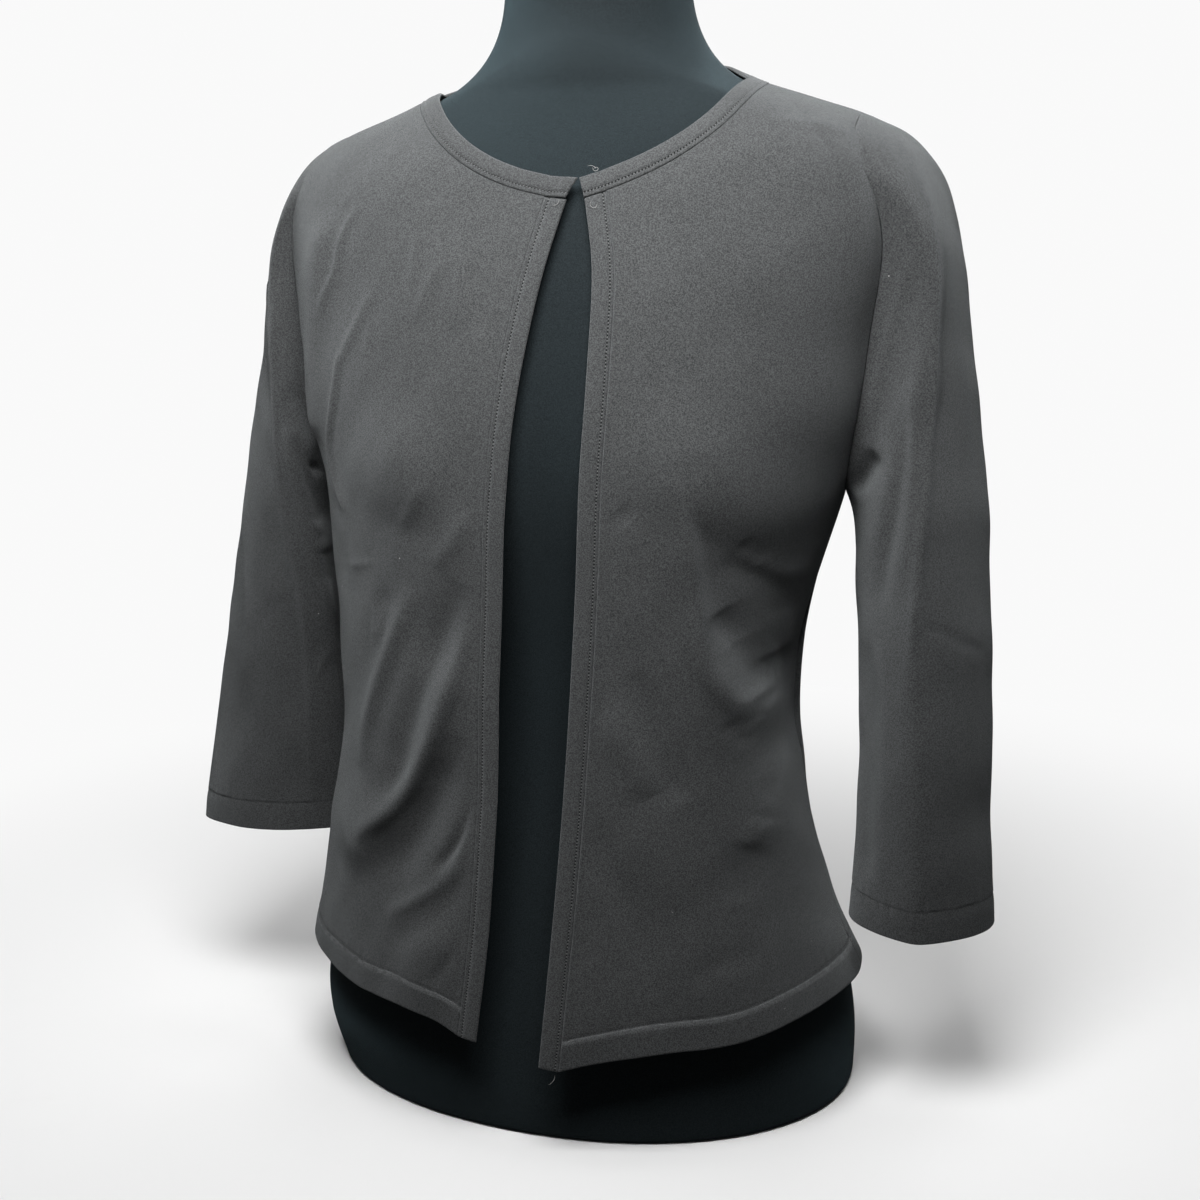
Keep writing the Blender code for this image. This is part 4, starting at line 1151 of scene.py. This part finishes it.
# %% Dress form
FORM_PATH = (
    # share of the rings, height and y of the ring's middle, elevation of its rays
    (0.00, 0.004, 0.000, 0.0),
    (0.62, 0.500, 0.000, 0.0),
    (0.74, 0.530, 0.008, 24.0),
    (0.82, 0.556, 0.020, 38.0),
    (0.88, 0.588, 0.030, 38.0),
    (0.94, 0.640, NECK_Y, 8.0),
    (1.00, 0.672, NECK_Y, 0.0),
)
FORM_RINGS = 170
FORM_COLUMNS = 168


def round_edge(ring, centre, height, level, radius, steps=5):
    """Rings that turn a side into a flat face: a quarter circle from upright to level."""
    made = []
    reach = (ring - centre) * (1, 1, 0)
    size = np.linalg.norm(reach, axis=1, keepdims=True)
    for angle in np.linspace(0, math.pi / 2, steps):
        shrunk = reach * (size - radius * (1 - math.cos(angle))) / size
        made.append(centre * (1, 1, 0) + shrunk + np.array((0, 0, level + height * math.sin(angle))))
    return np.stack(made)


def dress_form():
    """Foot, sides and top of the form; the small rings in the middle of its two flat ends are closed by
    strips straight across them."""
    share = np.linspace(0, 1, FORM_RINGS)
    height, middle_y, elevation = columns_at(FORM_PATH, share)
    angle = np.linspace(0, 2 * math.pi, FORM_COLUMNS, endpoint=False)
    tilt = np.radians(elevation)[:, None]
    direction = np.stack([np.cos(tilt) * np.cos(angle), np.cos(tilt) * np.sin(angle),
                          np.sin(tilt) * np.ones(FORM_COLUMNS)], axis=-1)
    start = np.zeros(direction.shape)
    start[..., 1], start[..., 2] = middle_y[:, None], height[:, None]
    rings = cast(form_field, start, direction)
    base_centre, top_centre = np.array((0, 0, 0.0)), np.array((0, NECK_Y, 0.0))
    foot = round_edge(rings[0], base_centre, -BASE_ROUND, BASE_ROUND, BASE_ROUND)[::-1]
    crown = round_edge(rings[-1], top_centre, TOP_ROUND, FORM_HEIGHT - TOP_ROUND, TOP_ROUND)
    inward = np.linspace(1, 0.06, 14)[1:, None, None]
    base_disc = base_centre + (foot[0] - base_centre) * inward[::-1]
    top_disc = top_centre + (crown[-1] - top_centre) * inward * (1, 1, 0) + (0, 0, FORM_HEIGHT)
    grid = np.concatenate([base_disc, foot, rings[1:-1], crown, top_disc])
    rows = len(grid)
    faces = quads(rows, FORM_COLUMNS, 0, True)
    loop = closed(grid)
    uv_faces = corners(np.stack([travelled(loop, 1), travelled(loop, 0)], axis=-1))
    across_ring = np.arange(FORM_COLUMNS // 2 - 1)
    low = np.stack([across_ring, FORM_COLUMNS - 1 - across_ring, FORM_COLUMNS - 2 - across_ring,
                    across_ring + 1], axis=1)
    high = low[:, ::-1] + (rows - 1) * FORM_COLUMNS
    caps = np.concatenate([low, high])
    uvs = np.concatenate([uv_faces, grid.reshape(-1, 3)[caps][..., :2]])
    return make_mesh("form_cover", grid.reshape(-1, 3), np.concatenate([faces, caps]), uvs)


FORM = dress_form()
print("form:", len(FORM.data.polygons), "faces")

# %% [markdown]
# ## Finishes
# The cardigan is a fine weft knit in a mixed charcoal yarn. Three things make it read as knit: rows of
# small V-shaped loops that follow the cloth, with shade painted into the colour between them, paler
# fibres scattered in the dark yarn, and a dull sheen from the fuzz on the surface. The loops and the mixed
# yarn are node groups, so that panels, bands and the form's jersey cover can share them. The bands also
# get painted shade in the small gaps between their stitches.

# %% Node helpers
def new_group(name, inputs, outputs):
    """An empty node group with named sockets; a socket is (name, kind, default)."""
    group = bpy.data.node_groups.new(name, "ShaderNodeTree")
    for label, kind, default in inputs:
        socket = group.interface.new_socket(label, in_out="INPUT", socket_type=kind)
        if default is not None:
            socket.default_value = default
    for label, kind in outputs:
        group.interface.new_socket(label, in_out="OUTPUT", socket_type=kind)
    return group, group.nodes.new("NodeGroupInput"), group.nodes.new("NodeGroupOutput")


def fill(tree, node, values):
    """Give a node's inputs their values by name; each is a number, a colour or another node's output."""
    for name, value in values.items():
        if isinstance(value, bpy.types.NodeSocket):
            tree.links.new(value, node.inputs[name])
        else:
            node.inputs[name].default_value = (*value, 1) if len(np.shape(value)) else value
    return node


def new_material(name):
    """A material that uses nodes, with its tree and its shader."""
    made = bpy.data.materials.new(name)
    made.use_nodes = True
    return made, made.node_tree, made.node_tree.nodes["Principled BSDF"]


def math_node(tree, operation, a, b=None, c=None):
    """One sum: each of a, b and c is a number or another node's output."""
    node = tree.nodes.new("ShaderNodeMath")
    node.operation = operation
    values = {k: value for k, value in enumerate((a, b, c)) if value is not None}
    return fill(tree, node, values).outputs[0]


def noise(tree, vector, scale, detail=2.0, rough=0.5):
    node = tree.nodes.new("ShaderNodeTexNoise")
    values = {"Vector": vector, "Scale": scale, "Detail": detail, "Roughness": rough}
    return fill(tree, node, values).outputs["Fac"]


def ramp(tree, value, low, high):
    """0 below low, 1 above high, smooth between."""
    node = tree.nodes.new("ShaderNodeMapRange")
    node.interpolation_type = "SMOOTHSTEP"
    return fill(tree, node, {"Value": value, "From Min": low, "From Max": high}).outputs["Result"]


def mix_colour(tree, mask, a, b):
    """Colour a where the mask is 0 and b where it is 1; each is a colour or an output."""
    node = tree.nodes.new("ShaderNodeMix")
    node.data_type = "RGBA"
    return fill(tree, node, {0: mask, 6: a, 7: b}).outputs[2]


# %% Knit loops
LEG_SLANT = 1.3
COURSE_SHARE = 0.55


def knit_group():
    """Height of a knitted face: two slanting legs in each wale, and a bulge for each course."""
    group, inside, outside = new_group(
        "knit_loops", [("Cloth", "NodeSocketVector", None), ("Wales", "NodeSocketFloat", 1150.0),
                       ("Courses", "NodeSocketFloat", 1350.0)], [("Height", "NodeSocketFloat")])
    split = group.nodes.new("ShaderNodeSeparateXYZ")
    group.links.new(inside.outputs["Cloth"], split.inputs[0])
    wale = math_node(group, "MULTIPLY", split.outputs[0], inside.outputs["Wales"])
    course = math_node(group, "MULTIPLY", split.outputs[1], inside.outputs["Courses"])
    across = math_node(group, "SUBTRACT", math_node(group, "FRACT", wale), 0.5)
    side = math_node(group, "ABSOLUTE", across)
    phase = math_node(group, "MULTIPLY_ADD", side, LEG_SLANT, course)
    row = math_node(group, "MULTIPLY_ADD", math_node(group, "COSINE", math_node(
        group, "MULTIPLY", phase, 2 * math.pi)), 0.5, 0.5)
    leg = math_node(group, "MULTIPLY", math_node(group, "ABSOLUTE", math_node(
        group, "SUBTRACT", side, 0.25)), 4.0)
    leg = math_node(group, "SUBTRACT", 1.0, math_node(group, "POWER", leg, 2.0))
    bulge = math_node(group, "MULTIPLY_ADD", row, COURSE_SHARE, 1 - COURSE_SHARE)
    height = math_node(group, "MULTIPLY", leg, bulge)
    group.links.new(height, outside.inputs["Height"])
    return group


COARSE_FIBRES, FINE_FIBRES, MOTTLE_SCALE, LINT_SCALE = 1350.0, 2900.0, 40.0, 30.0
LINT_SIZE = (0.016, 0.009)


def mixed_yarn_group():
    """Masks for mixed yarn: pale fibres in two sizes, slow mottling and sparse lint."""
    group, inside, outside = new_group(
        "mixed_yarn", [("Place", "NodeSocketVector", None), ("Spread", "NodeSocketFloat", 0.12)],
        [("Fibres", "NodeSocketFloat"), ("Mottle", "NodeSocketFloat"), ("Lint", "NodeSocketFloat")])
    place = inside.outputs["Place"]
    fine = math_node(group, "MULTIPLY", noise(group, place, FINE_FIBRES, 1.0, 0.6), 0.4)
    grains = math_node(group, "MULTIPLY_ADD", noise(group, place, COARSE_FIBRES, 1.5, 0.6), 0.6, fine)
    above = math_node(group, "SUBTRACT", grains, 0.5)
    share = math_node(group, "DIVIDE", above, inside.outputs["Spread"])
    fibres = ramp(group, math_node(group, "ADD", share, 0.5), 0.0, 1.0)
    mottle = noise(group, place, MOTTLE_SCALE, 4.0, 0.65)
    cells = group.nodes.new("ShaderNodeTexVoronoi")
    fill(group, cells, {"Vector": place, "Scale": LINT_SCALE})
    lint = ramp(group, cells.outputs["Distance"], *LINT_SIZE)
    fill(group, outside, {"Fibres": fibres, "Mottle": mottle, "Lint": lint})
    return group


KNIT = knit_group()
MIXED_YARN = mixed_yarn_group()
print("node groups:", [group.name for group in bpy.data.node_groups])


# %% Cloth materials
# Colour of the painted shade in the hollows between the knit loops and in the gaps between stitches
PAINTED_SHADE_COLOUR = (0.004, 0.004, 0.004)
# Painted shade in the gaps between stitches: its width across the stitch line, then its share of the pitch
GAP_SHADE_ACROSS = (0.00065, 0.00038)
GAP_SHADE_ALONG = (0.20, 0.30)
MOTTLE_SHARE = 0.25
LOOP_SHADE = 0.30
FIBRE_POLISH = 0.08
FIBRE_RELIEF = 0.5
FUZZ_ROUGHNESS = 0.45
CLOTH_GLINT = 0.14


def painted_stitch_gap_shade(tree, cloth):
    """Mask for painted shade: 1 in the small gaps between the stitches of a topstitched strip, where shade
    falls into the needle holes: u runs from the stitch line, and each stitch is centred halfway along its
    pitch in v."""
    split = tree.nodes.new("ShaderNodeSeparateXYZ")
    tree.links.new(cloth, split.inputs[0])
    beside = ramp(tree, math_node(tree, "ABSOLUTE", split.outputs[0]), *GAP_SHADE_ACROSS)
    pitch = math_node(tree, "FRACT", math_node(tree, "DIVIDE", split.outputs[1], STITCH_PITCH))
    gap = ramp(tree, math_node(tree, "ABSOLUTE", math_node(tree, "SUBTRACT", pitch, 0.5)), *GAP_SHADE_ALONG)
    return math_node(tree, "MULTIPLY", beside, gap)


def cloth_material(name, dark, pale, lint, gauge, depth, roughness, sheen, tint, spread, shade_stitch_gaps=False):
    """Mixed yarn for the colour, knit loops for the bump and for shade painted into the colour between
    them, and tinted sheen from the fuzz. On strips, shade is also painted into the gaps between the
    stitches.
    gauge is wales and courses to the metre."""
    made, tree, shader = new_material(name)
    coords = tree.nodes.new("ShaderNodeTexCoord")
    uv = tree.nodes.new("ShaderNodeUVMap")
    uv.uv_map = "cloth_uv"
    yarn = tree.nodes.new("ShaderNodeGroup")
    yarn.node_tree = MIXED_YARN
    fill(tree, yarn, {"Place": coords.outputs["Object"], "Spread": spread})
    loops = tree.nodes.new("ShaderNodeGroup")
    loops.node_tree = KNIT
    fill(tree, loops, {"Cloth": uv.outputs["UV"], "Wales": gauge[0], "Courses": gauge[1]})
    base = mix_colour(tree, yarn.outputs["Fibres"], dark, pale)
    middle = tuple(0.5 * (a + b) for a, b in zip(dark, pale))
    mottle = math_node(tree, "MULTIPLY", yarn.outputs["Mottle"], MOTTLE_SHARE)
    base = mix_colour(tree, mottle, base, middle)
    # Painted shade: the colour darkens in the hollows between the knit loops, by up to LOOP_SHADE
    deep = math_node(tree, "MULTIPLY_ADD", loops.outputs["Height"], -LOOP_SHADE, LOOP_SHADE)
    base = mix_colour(tree, deep, base, PAINTED_SHADE_COLOUR)
    base = mix_colour(tree, yarn.outputs["Lint"], base, lint)
    # Painted shade in the small gaps between a strip's stitches
    if shade_stitch_gaps:
        base = mix_colour(tree, painted_stitch_gap_shade(tree, uv.outputs["UV"]), base, PAINTED_SHADE_COLOUR)
    rough = math_node(tree, "MULTIPLY_ADD", yarn.outputs["Fibres"], -FIBRE_POLISH, roughness)
    fuzz = math_node(tree, "MULTIPLY_ADD", yarn.outputs["Fibres"], FIBRE_RELIEF, loops.outputs["Height"])
    bump = tree.nodes.new("ShaderNodeBump")
    fill(tree, bump, {"Height": fuzz, "Strength": 1.0, "Distance": depth})
    fill(tree, shader, {"Base Color": base, "Roughness": rough, "Normal": bump.outputs["Normal"],
                        "Sheen Weight": sheen, "Sheen Roughness": FUZZ_ROUGHNESS,
                        "Sheen Tint": tint, "Specular IOR Level": CLOTH_GLINT})
    return made


KNIT_GAUGE = (1150.0, 1350.0)
JERSEY_GAUGE = (1400.0, 1600.0)
GREY_FUZZ = (0.73, 0.77, 0.79)
BLUE_FUZZ = (0.50, 0.74, 0.84)
KNITTED = {"pale": (0.0855, 0.0890, 0.0905), "lint": (0.34, 0.34, 0.33), "gauge": KNIT_GAUGE,
           "depth": 0.00012, "roughness": 0.90, "tint": GREY_FUZZ, "spread": 0.28}
KNIT_CLOTH = cloth_material("charcoal_knit_cloth", dark=(0.0230, 0.0240, 0.0246), sheen=0.20, **KNITTED)
BAND_CLOTH = cloth_material("charcoal_band_cloth", dark=(0.0235, 0.0245, 0.0251), sheen=0.24,
                            shade_stitch_gaps=True, **KNITTED)
FORM_CLOTH = cloth_material("black_jersey_cover", dark=(0.0040, 0.0065, 0.0077), sheen=0.12,
                            pale=(0.0125, 0.0180, 0.0204), lint=(0.20, 0.22, 0.22), gauge=JERSEY_GAUGE,
                            depth=0.00010, roughness=0.85, tint=BLUE_FUZZ, spread=0.32)


def thread_material(name, dark, pale):
    """Twisted thread: the mottle along it is finer than the thread is thick."""
    made, tree, shader = new_material(name)
    coords = tree.nodes.new("ShaderNodeTexCoord")
    twist = noise(tree, coords.outputs["Object"], 4000.0)
    fill(tree, shader, {"Base Color": mix_colour(tree, twist, dark, pale), "Roughness": 0.7})
    return made


THREAD = thread_material("charcoal_thread", (0.060, 0.062, 0.063), (0.18, 0.185, 0.187))
# Thread for the hem and cuffs, partly its own charcoal and partly painted shade from the dent it lies in
HEM_THREAD = thread_material("hem_thread_with_painted_shade", (0.006, 0.006, 0.006), (0.030, 0.030, 0.030))
LOOSE_THREAD = thread_material("grey_thread", (0.10, 0.10, 0.10), (0.34, 0.34, 0.33))

# %% [markdown]
# ## Hand each piece to the frame
# Every piece rides on the one body of this object, stands for the imported solid that it refines, and
# takes its finish from the materials above.

# %% Ride and replace
ROOT = "root"


def hand_over(piece, finish, slot, *nodes):
    piece.data.materials.append(finish)
    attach(piece, ROOT)
    if nodes:
        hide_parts(*nodes)


for node, piece in CLOTH.items():
    hand_over(piece, KNIT_CLOTH, "charcoal_knit", node)
for band, piece in BANDS.items():
    hand_over(piece, BAND_CLOTH, "charcoal_band", f"{band}_band")
hand_over(FORM, FORM_CLOTH, "black_jersey", "dress_form")
for piece in BAND_STITCHES.values():
    hand_over(piece, THREAD, "charcoal_band")
for piece in [*CUFF_STITCHES.values(), HEM_STITCHES]:
    hand_over(piece, HEM_THREAD, "charcoal_band")
hand_over(LOOSE, LOOSE_THREAD, "charcoal_band")

# %% [markdown]
# ## Floor and light
# The room is white to look at but lends only a weak light, so that one lamp close above the front can
# shade the cloth strongly from the shoulders down to the hem. Its light narrows to a cone. Two wide lamps,
# overhead and behind, light the back, and the pale floor returns little light from below.

# %% Stage
ROOM_WHITE = 0.95
ROOM_LIGHT = 0.06
FLOOR_PALE = (0.80, 0.80, 0.80)
FLOOR_BOUNCE = (0.12, 0.12, 0.12)
FLOOR_REACH = 14.0
FLOOR_SIDES = 64
FLOOR_DROP = 0.0002
FLOOR_FADE = (0.22, 0.85)
LAMPS = (
    # name, place, what it faces, width and length, watts, degrees of its cone
    ("key", (0.06, -0.50, 1.00), (-0.02, -0.06, 0.58), (0.50, 0.36), 6.2, 110.0),
    ("overhead", (0.0, 0.15, 1.70), (0, 0.05, 0.5), (1.5, 1.2), 11.0, 180.0),
    ("behind", (0.0, 1.20, 0.95), (0, 0.05, 0.40), (1.2, 0.9), 7.0, 180.0),
)


def seen_directly(tree):
    """1 for what the camera looks at, 0 for the light that it gives to other things."""
    return tree.nodes.new("ShaderNodeLightPath").outputs["Is Camera Ray"]


def floor():
    """A disc of rings: lit paint near the object that turns into the surroundings' white far away."""
    radius = np.concatenate([[0.02], np.geomspace(0.2, FLOOR_REACH, 26)])
    angle = np.linspace(0, 2 * math.pi, FLOOR_SIDES, endpoint=False)
    grid = np.stack([radius[:, None] * np.cos(angle), radius[:, None] * np.sin(angle),
                     np.full((len(radius), FLOOR_SIDES), -FLOOR_DROP)], axis=-1)
    piece = make_mesh("floor", grid.reshape(-1, 3), quads(len(radius), FLOOR_SIDES, 0, True))
    made, tree, shader = new_material("pale_floor")
    coords = tree.nodes.new("ShaderNodeTexCoord")
    length = tree.nodes.new("ShaderNodeVectorMath")
    length.operation = "LENGTH"
    tree.links.new(coords.outputs["Object"], length.inputs[0])
    far = ramp(tree, length.outputs["Value"], *FLOOR_FADE)
    paint = mix_colour(tree, seen_directly(tree), FLOOR_BOUNCE, FLOOR_PALE)
    white = mix_colour(tree, seen_directly(tree), (ROOM_LIGHT,) * 3, (ROOM_WHITE,) * 3)
    black = (0.0, 0.0, 0.0)
    fill(tree, shader, {"Base Color": mix_colour(tree, far, paint, black), "Roughness": 0.9,
                        "Specular IOR Level": 0.0, "Emission Strength": 1.0,
                        "Emission Color": mix_colour(tree, far, black, white)})
    piece.data.materials.append(made)


def lamp(name, place, target, size, power, spread):
    """A soft rectangular lamp that faces its target, shines over a cone and isn't seen itself."""
    data = bpy.data.lights.new(name, "AREA")
    data.shape = "RECTANGLE"
    data.size, data.size_y = size
    data.energy = power
    data.spread = math.radians(spread)
    back = unit(np.subtract(place, target))
    right = unit(np.cross((0, 1, 0) if abs(back[2]) > 0.99 else (0, 0, 1), back))
    placed(name, data, right, np.cross(back, right), back, place).visible_camera = False


floor()
for row in LAMPS:
    lamp(*row)
world = bpy.data.worlds.new("white_room")
bpy.context.scene.world = world
world.use_nodes = True
sky = world.node_tree.nodes["Background"]
strength = math_node(world.node_tree, "MULTIPLY_ADD", seen_directly(world.node_tree),
                     ROOM_WHITE - ROOM_LIGHT, ROOM_LIGHT)
fill(world.node_tree, sky, {"Strength": strength, "Color": (1.0, 1.0, 1.0)})
bpy.context.scene.view_settings.view_transform = "Standard"
